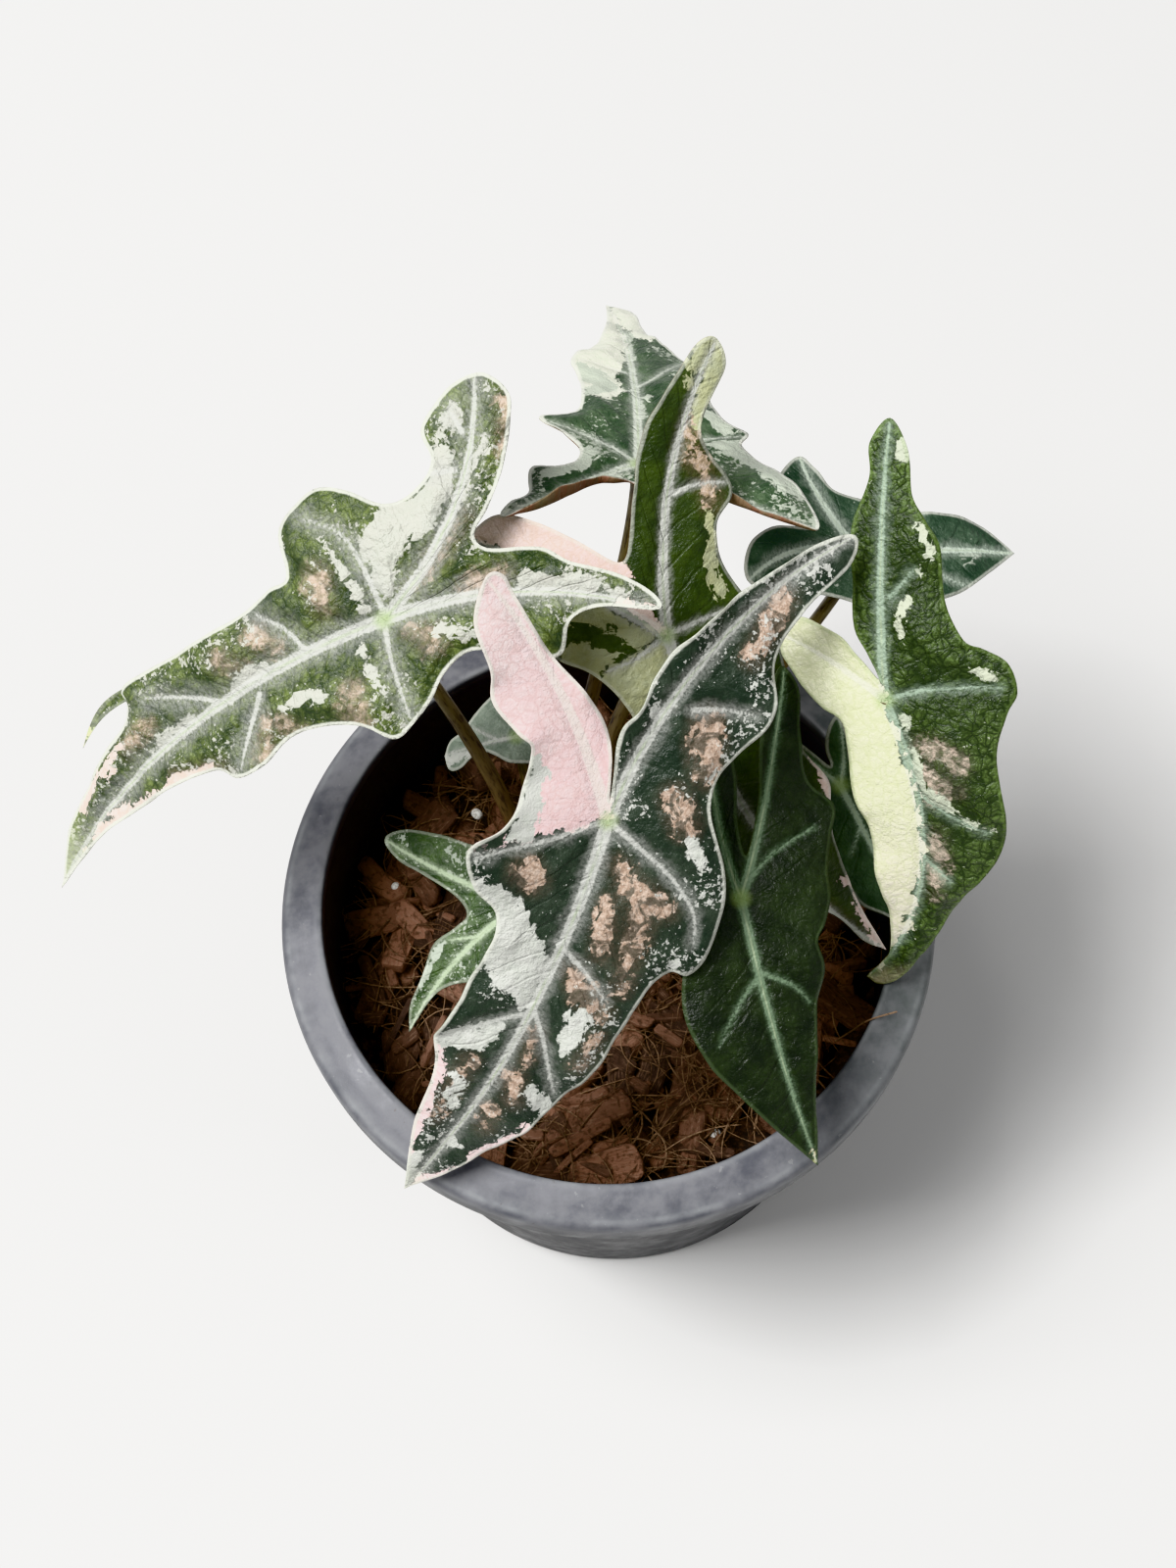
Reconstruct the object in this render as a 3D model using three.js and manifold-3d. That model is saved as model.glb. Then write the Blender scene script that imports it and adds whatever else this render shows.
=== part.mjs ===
// Potted alocasia with arrow-shaped, lobed leaves in a round nursery pot.
// Millimetres, +Z up, the pot's base centre at the origin.
import * as THREE from 'three';
import { mergeVertices } from 'three/addons/utils/BufferGeometryUtils.js';
import ManifoldModule from 'manifold-3d';

const manifold = await ManifoldModule();
manifold.setup();

// Pot
const POT_HEIGHT = 118;
const RIM_OUTER_RADIUS = 75;
const RIM_INNER_RADIUS = 65;
const RIM_SKIRT_DEPTH = 13;
const BASE_RADIUS = 57;
const WALL_TOP_RADIUS = 68;
const WALL = 2;
const FLOOR = 3;
const RIM_WALL = 2.2;
const BASE_BEVEL = 3;
const BASE_BEVEL_TOP = 0.9;
const POT_SIDES = 60;
const DRAIN_HOLES = 6;
const DRAIN_RADIUS = 5;
const DRAIN_CIRCLE = 38;
const DRAIN_SIDES = 14;

// The rim's flange: how far its underside lies below its top, and its slightly crowned upper face as
// steps in from the outer edge, or out from the inner one, and down from the top
const FLANGE = 5;
const FLANGE_FALL = 1.2;
const RIM_SKIRT_FILLET = 0.4;
const LEDGE = 3;
const RIM_CROWN = [[0, 4.8], [0.5, 3.6], [1.6, 2.7], [5, 1.2]];
const RIM_LIP = [[1.6, 0.1], [0.5, 0.2], [0, 1], [0, 4]];

// Potting mix
const CLEARANCE = 0.3;
const HOLE_CLEARANCE = 0.42;
const SOIL_LEVEL = 90;
const SOIL_RINGS = 15;
const SOIL_SIDES = 60;
const SOIL_EDGE_DROP = 4;
const BED_DROP = 3;
const BED_SLOPE = [0.03, -0.04];
const BED_SWELL = 0.8;
const BED_SWELL_LENGTHS = [6, 7];
const CHIP_COUNT = 52;
const CHIP_SEED = 7;
const CHIP_SPREAD = 57;
const CHIP_HALF_LENGTH = [7, 11];
const CHIP_HALF_WIDTH = [4, 7];
const CHIP_HEIGHT = [2, 6.5];
const CHIP_TILT = [-0.25, 0.25];
const CHIP_DROP = 3.5;
const CHIP_SKIRT = 1.15;
const CHIP_FLANK = 4;
const CLUMP_CALM = [14, 21];
const RANDOM_FACTOR = 16807;
const RANDOM_SIZE = 2147483647;
const STALK_HOLE_SIDES = 12;
const CROWN_HOLE_SIDES = 20;

// Crown and leaf stalks
const CROWN = [-6, 8];
const CROWN_RADIUS = 7;
const CROWN_TOP = 103;
const CROWN_SIDES = 18;
const ROOT_DEPTH = 8;
const COLLAR = 4;
const STALK_CIRCLE = 10.4;
const STALK_BASE_RADIUS = 2.2;
const STALK_TOP_RADIUS = 1.4;
const STALK_LEAN = 0.45;
const STALK_SIDES = 9;
const STALK_STEPS = 14;

// Blades
const BLADE = 0.8;
const RIB = 0.7;
const RINGS = [0, 0.14, 0.58, 1];
const COLUMN_STEP = 9;
const CLOSEST_COLUMNS = 0.9;
const SPUR_STEPS = 4;
const OUTLINE_STEPS = 8;
const LOBE_BEND_LENGTH = 40;
const CURL_LENGTH = 30;
const CREASE = 3;
const HUB_BLEND = 8;
const STRAIGHT = 1e-6;
const WAVE_LENGTH = 22;
const WAVE_PHASE = 1.3;
const ROLL_FADE = 0.05;
const ROLL_OPENING = 1.2;
const ROLL_SHARE = 0.8;
const SPUR_TAPER = 0.4;

// Each leaf: the point where its stalk meets the blade, the compass heading of its tip, how far the
// tip direction dips, how far its right side dips, how much the front droops over its length, how
// much each back lobe rises over 40 mm, how each half folds up and curls down. Outline points are
// millimetres right of the midrib and towards the tip, listed from the waist or the sinus outwards.
const LEAVES = [
  {
    name: 'left_large', hub: [-39, 35, 205], heading: -164, slope: 22, roll: -16, droop: 30,
    lift: [-6, -6], fold: [4, 4], curl: [8, 8], wave: 1.0, base: 160, rise: 70, reach: 40,
    colour: '#5f7355',
    tip: [-7, 105], bow: 7, leftTip: [-27, -49], leftBow: -4.5, rightTip: [33, -41], rightBow: 6,
    sinus: [5, -25], waistLeft: [-21, 4], waistRight: [30, 3],
    frontLeft: [[-22, 10], [-16, 15], [-12, 22], [-10, 30], [-12, 38], [-11, 45], [-7, 49], [-5, 58],
      [-4, 70], [-4, 88]],
    frontRight: [[27, 10], [18, 13], [18, 18], [17, 27], [18, 41], [19, 54], [18.6, 60], [16, 60.5],
      [13, 64], [9, 75], [3, 91]],
    spur: { side: 'frontRight', from: 6, to: 7, tip: [14, 77], bulge: 2.2 },
    leftOuter: [[-19, -1], [-16, -6], [-15, -13], [-22, -22], [-25, -28], [-20, -33], [-21, -40]],
    leftInner: [[1, -26], [-4, -35], [-10, -39], [-17, -46], [-24, -50]],
    rightOuter: [[30, -2], [26, -7], [20, -12], [19, -19], [22, -25], [29, -26], [33, -34]],
    rightInner: [[8, -30], [12, -35], [20, -42], [25, -45], [30, -44]],
  },
  {
    name: 'front_large', hub: [0, -9, 190], heading: -136, slope: 31, roll: -30, droop: 24,
    lift: [-8, 0], fold: [0, 18], curl: [6, 0], wave: 1.0, base: -82, rise: 60, reach: 34,
    colour: '#4c5b4d',
    tip: [-11, 103], bow: -4, leftTip: [-15, -74], leftBow: -8, rightTip: [52, -34], rightBow: 3,
    sinus: [2, -4], waistLeft: [-34, 16], waistRight: [24, 17],
    frontLeft: [[-33, 22], [-29, 23], [-27, 29], [-28, 39], [-28, 51], [-26, 64], [-22, 79], [-15, 95]],
    frontRight: [[18, 24], [10, 28], [7, 38], [6, 49], [6, 59], [1, 68], [-3, 84]],
    leftOuter: [[-31, 5], [-26, -3], [-17, -12], [-15, -19], [-18, -29], [-18, -36], [-13, -45],
      [-13, -56], [-17, -68]],
    leftInner: [[8.2, -17], [7.6, -23], [8, -30], [7, -38], [4, -47], [-2, -58], [-9, -69]],
    rightOuter: [[20, 10], [20, 3], [24, -7], [29, -9], [36, -12], [41, -18], [49, -25]],
    rightInner: [[10, -16], [20, -22], [31, -26], [44, -33], [49, -36]],
  },
  {
    name: 'centre_dark', hub: [18, 29, 192], heading: -48, slope: 37, roll: 8, droop: 20,
    lift: [8, -30], fold: [-3, -8], curl: [-10, 8], wave: 0.8, base: 67, rise: 60, reach: 34,
    colour: '#33421f',
    tip: [5, 98], bow: 9, leftTip: [-46, -40], leftBow: -4, rightTip: [15, -44], rightBow: 0,
    sinus: [-3, -18], waistLeft: [-18, 6], waistRight: [17, -5],
    frontLeft: [[-19, 14], [-15, 24], [-9, 34], [-7, 42], [-7, 50], [-4, 57], [1, 67], [4, 83]],
    frontRight: [[16, 4], [18, 14], [24, 22], [29, 32], [29, 44], [24, 56], [16, 68], [10, 79], [8, 91]],
    leftOuter: [[-19, -3], [-23, -10], [-29, -12], [-31, -15], [-31, -21], [-32, -27], [-36, -30],
      [-44, -34]],
    leftInner: [[-12, -26], [-19, -32], [-26, -37], [-36, -40], [-43, -42]],
    rightOuter: [[20, -12], [21, -21], [20, -33], [18, -40]],
    rightInner: [[1, -28], [4, -36], [8, -43]],
  },
  {
    name: 'back_pale', hub: [18, 69, 194], heading: 87, slope: 26, roll: 6, droop: 20,
    lift: [18, 8], fold: [4, 0], curl: [4, 4], wave: 0.8, base: 97, rise: 70, reach: 40,
    innerRoll: 100, innerRollWidth: 5, colour: '#8d9c80',
    tip: [1, 93], bow: 2, leftTip: [-30, -24], leftBow: 1, rightTip: [35, -24], rightBow: 1,
    sinus: [-1, -9], waistLeft: [-20, 17], waistRight: [25, 12],
    frontLeft: [[-12, 20], [-10, 28], [-10, 39], [-11, 46], [-6, 55], [-2, 66], [0, 79]],
    frontRight: [[21, 16], [19, 22], [18, 32], [16, 47], [11, 56], [8, 69], [6, 86]],
    leftOuter: [[-15, 10], [-12, 4], [-16, -3], [-23, -4], [-24, -13], [-28, -18]],
    leftInner: [[-6, -11], [-10, -12], [-15, -18], [-22, -24]],
    rightOuter: [[23, 7], [27, 1], [32, -7], [35, -14]],
    rightInner: [[6, -15], [13, -18], [21, -19], [28, -23]],
  },
  {
    name: 'right_two_tone', hub: [60, 10, 187], heading: -96, slope: 45, roll: 18, droop: 30,
    lift: [-6, -10], fold: [0, -4], curl: [6, 8], wave: 0.8, base: -20, reach: 62, knee: [54, 4, 97],
    colour: '#7f9350',
    tip: [8, 78], bow: -11, leftTip: [0, -58], leftBow: -1, rightTip: [22, -12], rightBow: 1,
    sinus: [1, -4], waistLeft: [-27, -3], waistRight: [9, 6],
    frontLeft: [[-25, 2], [-23, 12], [-25, 27], [-23, 37], [-16, 47], [-7, 64], [-1, 75], [5, 80]],
    frontRight: [[8, 12], [7, 22], [4, 31], [3, 42], [1, 55], [2, 68]],
    leftOuter: [[-25, -9], [-20, -12], [-16, -14], [-12, -22], [-11, -33], [-8, -38], [-5, -43],
      [-4, -52]],
    leftInner: [[3.6, -10], [6.6, -16], [7, -27], [7, -37], [4, -46], [4, -53]],
    rightOuter: [[13, 3], [17, -1], [22, -7]],
    rightInner: [[5.4, -9], [9, -13], [14, -15], [19, -16]],
  },
  {
    name: 'back_right', hub: [66, 58, 160], heading: 2, slope: 12, roll: 4, droop: 14,
    lift: [0, 0], fold: [0, 0], curl: [6, 6], wave: 0.6, base: 38, rise: 14, reach: 34,
    colour: '#3d5046',
    tip: [1, 39], bow: 0, leftTip: [-25, -9], leftBow: -1.5, rightTip: [5, -27], rightBow: 4,
    sinus: [-7, -10], waistLeft: [-13, 3], waistRight: [14, 3],
    frontLeft: [[-10, 10], [-9, 20], [-6, 31]],
    frontRight: [[13, 12], [11, 22], [6, 31]],
    leftOuter: [[-16, -3], [-21, -6]],
    leftInner: [[-13, -16], [-20, -15]],
    rightOuter: [[11, -7], [9, -14], [9, -22]],
    rightInner: [[-8, -18], [-5, -24], [0, -27]],
  },
  {
    name: 'low_front_dark', hub: [26, -20, 164], heading: -79, slope: 23, roll: -7, droop: 22,
    lift: [8, 3], fold: [0, 0], curl: [8, 8], wave: 0.7, base: -50, rise: 26, reach: 26,
    colour: '#27331c',
    tip: [-1, 62], bow: 2, leftTip: [-24, -43], leftBow: 1.5, rightTip: [-4, -35], rightBow: -1.5,
    sinus: [-4, -8], waistLeft: [-20, 1], waistRight: [12, 1],
    frontLeft: [[-19, 6], [-16, 11], [-13, 14], [-13, 20], [-9, 28], [-6, 38], [-3, 51]],
    frontRight: [[16, 9], [19, 20], [17, 31], [13, 39], [6, 51]],
    leftOuter: [[-23, -6], [-26, -12], [-22, -19], [-23, -28], [-26, -37]],
    leftInner: [[-9, -16], [-14, -29], [-19, -38], [-21.5, -42]],
    rightOuter: [[11, -7], [6, -15], [1, -23], [-1, -31]],
    rightInner: [[-4, -15], [-7, -24], [-7, -31]],
  },
  {
    name: 'small_left', hub: [-20, -2, 130], heading: -146, slope: 15, roll: 0, droop: 20,
    lift: [10, 10], fold: [2, 2], curl: [6, 6], wave: 0.5, base: -165, rise: 16, reach: 14,
    colour: '#4f6636',
    tip: [-1, 39], bow: 2, leftTip: [-13, -7], leftBow: 0, rightTip: [34, 12], rightBow: -1,
    sinus: [1, -4], waistLeft: [-12, 3], waistRight: [7, 10],
    frontLeft: [[-11, 10], [-7, 17], [-2, 23], [0, 29]],
    frontRight: [[7, 14], [8, 20], [5, 27], [3, 34]],
    leftOuter: [[-15, -1], [-16, -5]],
    leftInner: [[-3, -6], [-8, -8]],
    rightOuter: [[12, 9], [21, 11], [28, 13]],
    rightInner: [[6, -5], [13, -4], [19, -1], [25, 2], [32, 7]],
  },
  {
    name: 'small_back_left', hub: [-15, 44, 118], heading: -174, slope: 9, roll: 0, droop: 20,
    lift: [0, 0], fold: [0, 0], curl: [6, 6], wave: 0.4, base: 128, rise: 12, reach: 14,
    colour: '#77836f',
    tip: [2, 18.5], bow: 0, leftTip: [-7, -13], leftBow: 0, rightTip: [9, -13], rightBow: 0,
    sinus: [1, -5], waistLeft: [-6, 3], waistRight: [12, 3],
    frontLeft: [[-3, 6], [-1, 8.5], [-1, 11], [-3, 15], [-2, 18]],
    frontRight: [[9, 8], [6, 12], [5, 16]],
    leftOuter: [[-8, -3], [-9, -9]],
    leftInner: [[-2, -9], [-5, -13]],
    rightOuter: [[13, -3], [12, -10]],
    rightInner: [[3, -9], [6, -12]],
  },
  {
    name: 'small_right_dark', hub: [55, 13, 136], heading: -69, slope: 20, roll: 0, droop: 20,
    lift: [0, 0], fold: [0, 0], curl: [6, 6], wave: 0.4, base: 9, rise: 12, reach: 20,
    colour: '#2b3a2a',
    tip: [0, 36], bow: 0, leftTip: [-7, -14], leftBow: 1, rightTip: [7, -16], rightBow: 0,
    sinus: [0, -5], waistLeft: [-5, 2], waistRight: [9, 3],
    frontLeft: [[-6, 9], [-6, 18], [-4, 28]],
    frontRight: [[9, 10], [9, 19], [8, 26], [4, 31]],
    leftOuter: [[-5, -4], [-7, -9]],
    leftInner: [[-1, -9], [-4, -13]],
    rightOuter: [[8, -4], [9, -11]],
    rightInner: [[2, -9], [5, -15]],
  },
];

const SAME_POINT = 1e-4;
const radians = THREE.MathUtils.degToRad;

function finish(colour, roughness, metalness = 0) {
  return new THREE.MeshStandardMaterial({ color: colour, roughness, metalness, side: THREE.DoubleSide });
}

// Closed meshes share their corner points and keep no sliver triangles.
function weld(geometry) {
  geometry.deleteAttribute('normal');
  geometry.deleteAttribute('uv');
  const merged = mergeVertices(geometry, SAME_POINT);
  const index = merged.index.array;
  const kept = [];
  for (let i = 0; i < index.length; i += 3) {
    const [a, b, c] = [index[i], index[i + 1], index[i + 2]];
    if (a !== b && b !== c && a !== c) kept.push(a, b, c);
  }
  merged.setIndex(kept);
  merged.computeVertexNormals();
  return merged;
}

function toManifold(geometry) {
  const welded = weld(geometry);
  const mesh = new manifold.Mesh({
    numProp: 3,
    vertProperties: new Float32Array(welded.attributes.position.array),
    triVerts: new Uint32Array(welded.index.array),
  });
  return new manifold.Manifold(mesh);
}

function fromManifold(solid) {
  const mesh = solid.getMesh();
  const geometry = new THREE.BufferGeometry();
  const points = [];
  for (let i = 0; i < mesh.numVert; i += 1) {
    const start = i * mesh.numProp;
    points.push(mesh.vertProperties[start], mesh.vertProperties[start + 1], mesh.vertProperties[start + 2]);
  }
  geometry.setAttribute('position', new THREE.Float32BufferAttribute(points, 3));
  geometry.setIndex(Array.from(mesh.triVerts));
  return weld(geometry);
}

function cut(geometry, cutters) {
  const solids = cutters.map((cutter) => toManifold(cutter));
  return fromManifold(toManifold(geometry).subtract(manifold.Manifold.union(solids)));
}

function post(radius, sides, bottom, top, x, y) {
  const cylinder = new THREE.CylinderGeometry(radius, radius, top - bottom, sides);
  cylinder.rotateX(Math.PI / 2);
  cylinder.translate(x, y, (top + bottom) / 2);
  return cylinder;
}

function lathe(profile, sides) {
  const points = profile.map(([radius, height]) => new THREE.Vector2(radius, height));
  const turned = new THREE.LatheGeometry(points, sides);
  turned.rotateX(Math.PI / 2);
  return turned;
}

// Pot: tapered wall, thin floor with drain holes, and a flange with a skirt for a rim
function wallRadius(height) {
  const share = height / (POT_HEIGHT - RIM_SKIRT_DEPTH);
  return BASE_RADIUS + (WALL_TOP_RADIUS - BASE_RADIUS) * share;
}

function pot() {
  const skirt = POT_HEIGHT - RIM_SKIRT_DEPTH;
  const ceiling = POT_HEIGHT - FLANGE;
  const ledge = ceiling - LEDGE;
  const profile = [
    [0, 0],
    [BASE_RADIUS - BASE_BEVEL, 0],
    [BASE_RADIUS - BASE_BEVEL_TOP, BASE_BEVEL_TOP],
    [wallRadius(BASE_BEVEL), BASE_BEVEL],
    [wallRadius(skirt), skirt],
    [wallRadius(skirt) + RIM_SKIRT_FILLET, ceiling],
    [RIM_OUTER_RADIUS - RIM_WALL, ceiling - FLANGE_FALL],
    [RIM_OUTER_RADIUS - RIM_WALL, skirt],
    [RIM_OUTER_RADIUS - RIM_SKIRT_FILLET, skirt],
    ...RIM_CROWN.map(([inward, down]) => [RIM_OUTER_RADIUS - inward, POT_HEIGHT - down]),
    ...RIM_LIP.map(([outward, down]) => [RIM_INNER_RADIUS + outward, POT_HEIGHT - down]),
    [wallRadius(ledge) - WALL, ledge],
    [wallRadius(FLOOR) - WALL, FLOOR],
    [0, FLOOR],
  ];
  const holes = [];
  for (let i = 0; i < DRAIN_HOLES; i += 1) {
    const turn = (i / DRAIN_HOLES) * 2 * Math.PI;
    const x = DRAIN_CIRCLE * Math.cos(turn);
    const y = DRAIN_CIRCLE * Math.sin(turn);
    holes.push(post(DRAIN_RADIUS, DRAIN_SIDES, -1, FLOOR + 1, x, y));
  }
  return cut(lathe(profile, POT_SIDES), holes);
}

// Potting mix: husk chips stand out of its surface, and the stalks stand in plain holes
function randomSource(seed) {
  let state = seed;
  return () => {
    state = (state * RANDOM_FACTOR) % RANDOM_SIZE;
    return state / RANDOM_SIZE;
  };
}

function huskChips() {
  const random = randomSource(CHIP_SEED);
  const between = ([least, most]) => least + (most - least) * random();
  const chips = [];
  for (let i = 0; i < CHIP_COUNT; i += 1) {
    const distance = CHIP_SPREAD * Math.sqrt(random());
    const around = 2 * Math.PI * random();
    const turn = Math.PI * random();
    const chip = {
      x: distance * Math.cos(around),
      y: distance * Math.sin(around),
      along: [Math.cos(turn), Math.sin(turn)],
      halfLength: between(CHIP_HALF_LENGTH),
      halfWidth: between(CHIP_HALF_WIDTH),
      height: between(CHIP_HEIGHT),
      tilt: between(CHIP_TILT),
    };
    chips.push(chip);
  }
  return chips;
}

function soilHeight(chips, x, y) {
  const swell = BED_SWELL * Math.sin(x / BED_SWELL_LENGTHS[0]) * Math.cos(y / BED_SWELL_LENGTHS[1]);
  let height = SOIL_LEVEL - BED_DROP + BED_SLOPE[0] * x + BED_SLOPE[1] * y + swell;
  for (const chip of chips) {
    const dx = x - chip.x;
    const dy = y - chip.y;
    const lengthwise = dx * chip.along[0] + dy * chip.along[1];
    const sideways = -dx * chip.along[1] + dy * chip.along[0];
    const edge = Math.max(Math.abs(lengthwise) / chip.halfLength, Math.abs(sideways) / chip.halfWidth);
    if (edge >= CHIP_SKIRT) continue;
    const raised = chip.height * Math.min(1, (CHIP_SKIRT - edge) * CHIP_FLANK) + chip.tilt * lengthwise;
    height = Math.max(height, SOIL_LEVEL - CHIP_DROP + raised);
  }
  const fromCrown = Math.hypot(x - CROWN[0], y - CROWN[1]);
  const calm = THREE.MathUtils.smoothstep(fromCrown, ...CLUMP_CALM);
  return THREE.MathUtils.lerp(SOIL_LEVEL, height, calm);
}

function pottingMix(stalkFeet) {
  const chips = huskChips();
  const points = [[0, 0, soilHeight(chips, 0, 0)]];
  const edgeHeight = SOIL_LEVEL - SOIL_EDGE_DROP;
  const topRadius = wallRadius(edgeHeight) - WALL - CLEARANCE;
  const bottom = FLOOR + CLEARANCE;
  const bottomRadius = wallRadius(bottom) - WALL - CLEARANCE;
  for (let ring = 1; ring <= SOIL_RINGS; ring += 1) {
    const radius = (topRadius * ring) / SOIL_RINGS;
    for (let side = 0; side < SOIL_SIDES; side += 1) {
      const turn = (side / SOIL_SIDES) * 2 * Math.PI;
      const x = radius * Math.cos(turn);
      const y = radius * Math.sin(turn);
      const height = ring === SOIL_RINGS ? edgeHeight : soilHeight(chips, x, y);
      points.push([x, y, height]);
    }
  }
  for (let side = 0; side < SOIL_SIDES; side += 1) {
    const turn = (side / SOIL_SIDES) * 2 * Math.PI;
    points.push([bottomRadius * Math.cos(turn), bottomRadius * Math.sin(turn), bottom]);
  }
  points.push([0, 0, bottom]);
  const faces = [];
  const at = (ring, side) => 1 + (ring - 1) * SOIL_SIDES + (side % SOIL_SIDES);
  for (let side = 0; side < SOIL_SIDES; side += 1) {
    faces.push(0, at(1, side), at(1, side + 1));
    for (let ring = 1; ring <= SOIL_RINGS; ring += 1) {
      faces.push(at(ring, side), at(ring + 1, side), at(ring + 1, side + 1));
      faces.push(at(ring, side), at(ring + 1, side + 1), at(ring, side + 1));
    }
    faces.push(at(SOIL_RINGS + 1, side), points.length - 1, at(SOIL_RINGS + 1, side + 1));
  }
  const geometry = new THREE.BufferGeometry();
  geometry.setAttribute('position', new THREE.Float32BufferAttribute(points.flat(), 3));
  geometry.setIndex(faces);
  const hollowFloor = SOIL_LEVEL - ROOT_DEPTH - CLEARANCE;
  const holes = stalkFeet.map(([x, y]) => {
    return post(STALK_BASE_RADIUS + HOLE_CLEARANCE, STALK_HOLE_SIDES, hollowFloor, POT_HEIGHT, x, y);
  });
  const crownHole = CROWN_RADIUS + HOLE_CLEARANCE;
  holes.push(post(crownHole, CROWN_HOLE_SIDES, hollowFloor, POT_HEIGHT, CROWN[0], CROWN[1]));
  return cut(geometry, holes);
}

// Crown: a short corm with the scars of old leaves, standing in the mix. Its profile is a share of its
// radius and a height above its foot.
const CROWN_PROFILE = [[0.86, 0], [1, 3], [0.97, 9], [0.84, 13], [0.8, 14], [0.66, 18], [0.36, 20]];

function crown() {
  const foot = SOIL_LEVEL - ROOT_DEPTH;
  const side = CROWN_PROFILE.map(([share, height]) => [CROWN_RADIUS * share, foot + height]);
  const turned = lathe([[0, foot], ...side, [0, CROWN_TOP]], CROWN_SIDES);
  turned.translate(CROWN[0], CROWN[1], 0);
  return weld(turned);
}

// Leaf frame: right, forward and up directions of a blade at its hub
function leafFrame(leaf) {
  const heading = radians(leaf.heading);
  const slope = radians(leaf.slope);
  const roll = radians(leaf.roll);
  const level = Math.cos(slope);
  const forward = new THREE.Vector3(Math.cos(heading) * level, Math.sin(heading) * level, -Math.sin(slope));
  const flatRight = new THREE.Vector3(Math.sin(heading), -Math.cos(heading), 0);
  const flatUp = new THREE.Vector3().crossVectors(flatRight, forward);
  const right = flatRight.clone().multiplyScalar(Math.cos(roll)).addScaledVector(flatUp, -Math.sin(roll));
  const up = flatRight.clone().multiplyScalar(Math.sin(roll)).addScaledVector(flatUp, Math.cos(roll));
  return { right, forward, up };
}

// A point of the blade: u right of the midrib, v towards the tip, h above the middle of the blade.
// The front droops along an arc, each back lobe rises along an arc, and each half folds and curls.
function bladePoint(leaf, frame, u, v, h) {
  const side = u < 0 ? 0 : 1;
  const blend = THREE.MathUtils.smoothstep(u, -HUB_BLEND, HUB_BLEND);
  const lift = THREE.MathUtils.lerp(leaf.lift[0], leaf.lift[1], blend);
  const bend = v >= 0 ? -radians(leaf.droop) / leaf.tip[1] : radians(lift) / LOBE_BEND_LENGTH;
  const curvature = Math.abs(bend) < STRAIGHT ? STRAIGHT : bend;
  const angle = curvature * Math.abs(v);
  const along = (Math.sign(v) * Math.sin(angle)) / curvature;
  const rise = (1 - Math.cos(angle)) / curvature;
  const lean = v >= 0 ? -Math.sin(angle) : Math.sin(angle);
  const fold = radians(leaf.fold[side]);
  const curl = radians(leaf.curl[side]) / CURL_LENGTH;
  const crease = Math.hypot(u, CREASE);
  const across = Math.sin(fold) * (crease - CREASE) - (curl * u * u) / 2;
  const tilt = Math.atan((Math.sin(fold) * u) / crease - curl * u);
  const lifted = across + h * Math.cos(tilt);
  const sideways = u * Math.cos(fold) - h * Math.sin(tilt);
  return new THREE.Vector3(...leaf.hub)
    .addScaledVector(frame.right, sideways)
    .addScaledVector(frame.forward, along + lifted * lean)
    .addScaledVector(frame.up, rise + lifted * Math.cos(angle));
}

// Outline: one smooth closed curve through the hand-placed points, cut into the six half arms
const ARMS = [
  { vein: 'tip', bow: 'bow', halves: ['frontLeft', 'frontRight'] },
  { vein: 'leftTip', bow: 'leftBow', halves: ['leftInner', 'leftOuter'] },
  { vein: 'rightTip', bow: 'rightBow', halves: ['rightOuter', 'rightInner'] },
];

const CHAIN = [
  { half: 'frontLeft', start: 'tip', backwards: true },
  { half: 'leftOuter', start: 'waistLeft', backwards: false },
  { half: 'leftInner', start: 'leftTip', backwards: true },
  { half: 'rightInner', start: 'sinus', backwards: false },
  { half: 'rightOuter', start: 'rightTip', backwards: true },
  { half: 'frontRight', start: 'waistRight', backwards: false },
];

function smoothPoint(before, from, to, after, t) {
  const blend = (a, b, c, d) => {
    const linear = (c - a) * t;
    const square = (2 * a - 5 * b + 4 * c - d) * t * t;
    const cube = (3 * b - 3 * c + d - a) * t * t * t;
    return 0.5 * (2 * b + linear + square + cube);
  };
  return [blend(before[0], from[0], to[0], after[0]), blend(before[1], from[1], to[1], after[1])];
}

function outlineHalves(leaf) {
  const chain = [];
  const spans = {};
  for (const { half, start, backwards } of CHAIN) {
    const points = backwards ? [...leaf[half]].reverse() : leaf[half];
    spans[half] = { first: chain.length, last: chain.length + points.length + 1, backwards };
    chain.push(leaf[start], ...points);
  }
  chain.push(leaf.tip);
  const mirrored = (a, b) => [2 * a[0] - b[0], 2 * a[1] - b[1]];
  const last = chain.length - 1;
  const padded = [mirrored(chain[0], chain[1]), ...chain, mirrored(chain[last], chain[last - 1])];
  const halves = {};
  for (const [half, { first, last: end, backwards }] of Object.entries(spans)) {
    let line = [];
    for (let i = first; i < end; i += 1) {
      for (let step = 0; step < OUTLINE_STEPS; step += 1) {
        const [a, b, c, d] = padded.slice(i, i + 4);
        line.push(smoothPoint(a, b, c, d, step / OUTLINE_STEPS));
      }
    }
    line.push(chain[end]);
    if (backwards) line = line.reverse();
    const travelled = [0];
    for (let i = 1; i < line.length; i += 1) {
      const step = Math.hypot(line[i][0] - line[i - 1][0], line[i][1] - line[i - 1][1]);
      travelled.push(travelled[i - 1] + step);
    }
    const length = travelled[travelled.length - 1];
    halves[half] = { line, share: travelled.map((distance) => distance / length), length };
  }
  return halves;
}

function alongHalf({ line, share }, f) {
  let i = 1;
  while (i < share.length - 1 && share[i] < f) i += 1;
  const t = (f - share[i - 1]) / (share[i] - share[i - 1]);
  const [a, b] = [line[i - 1], line[i]];
  return [a[0] + (b[0] - a[0]) * t, a[1] + (b[1] - a[1]) * t];
}

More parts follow.
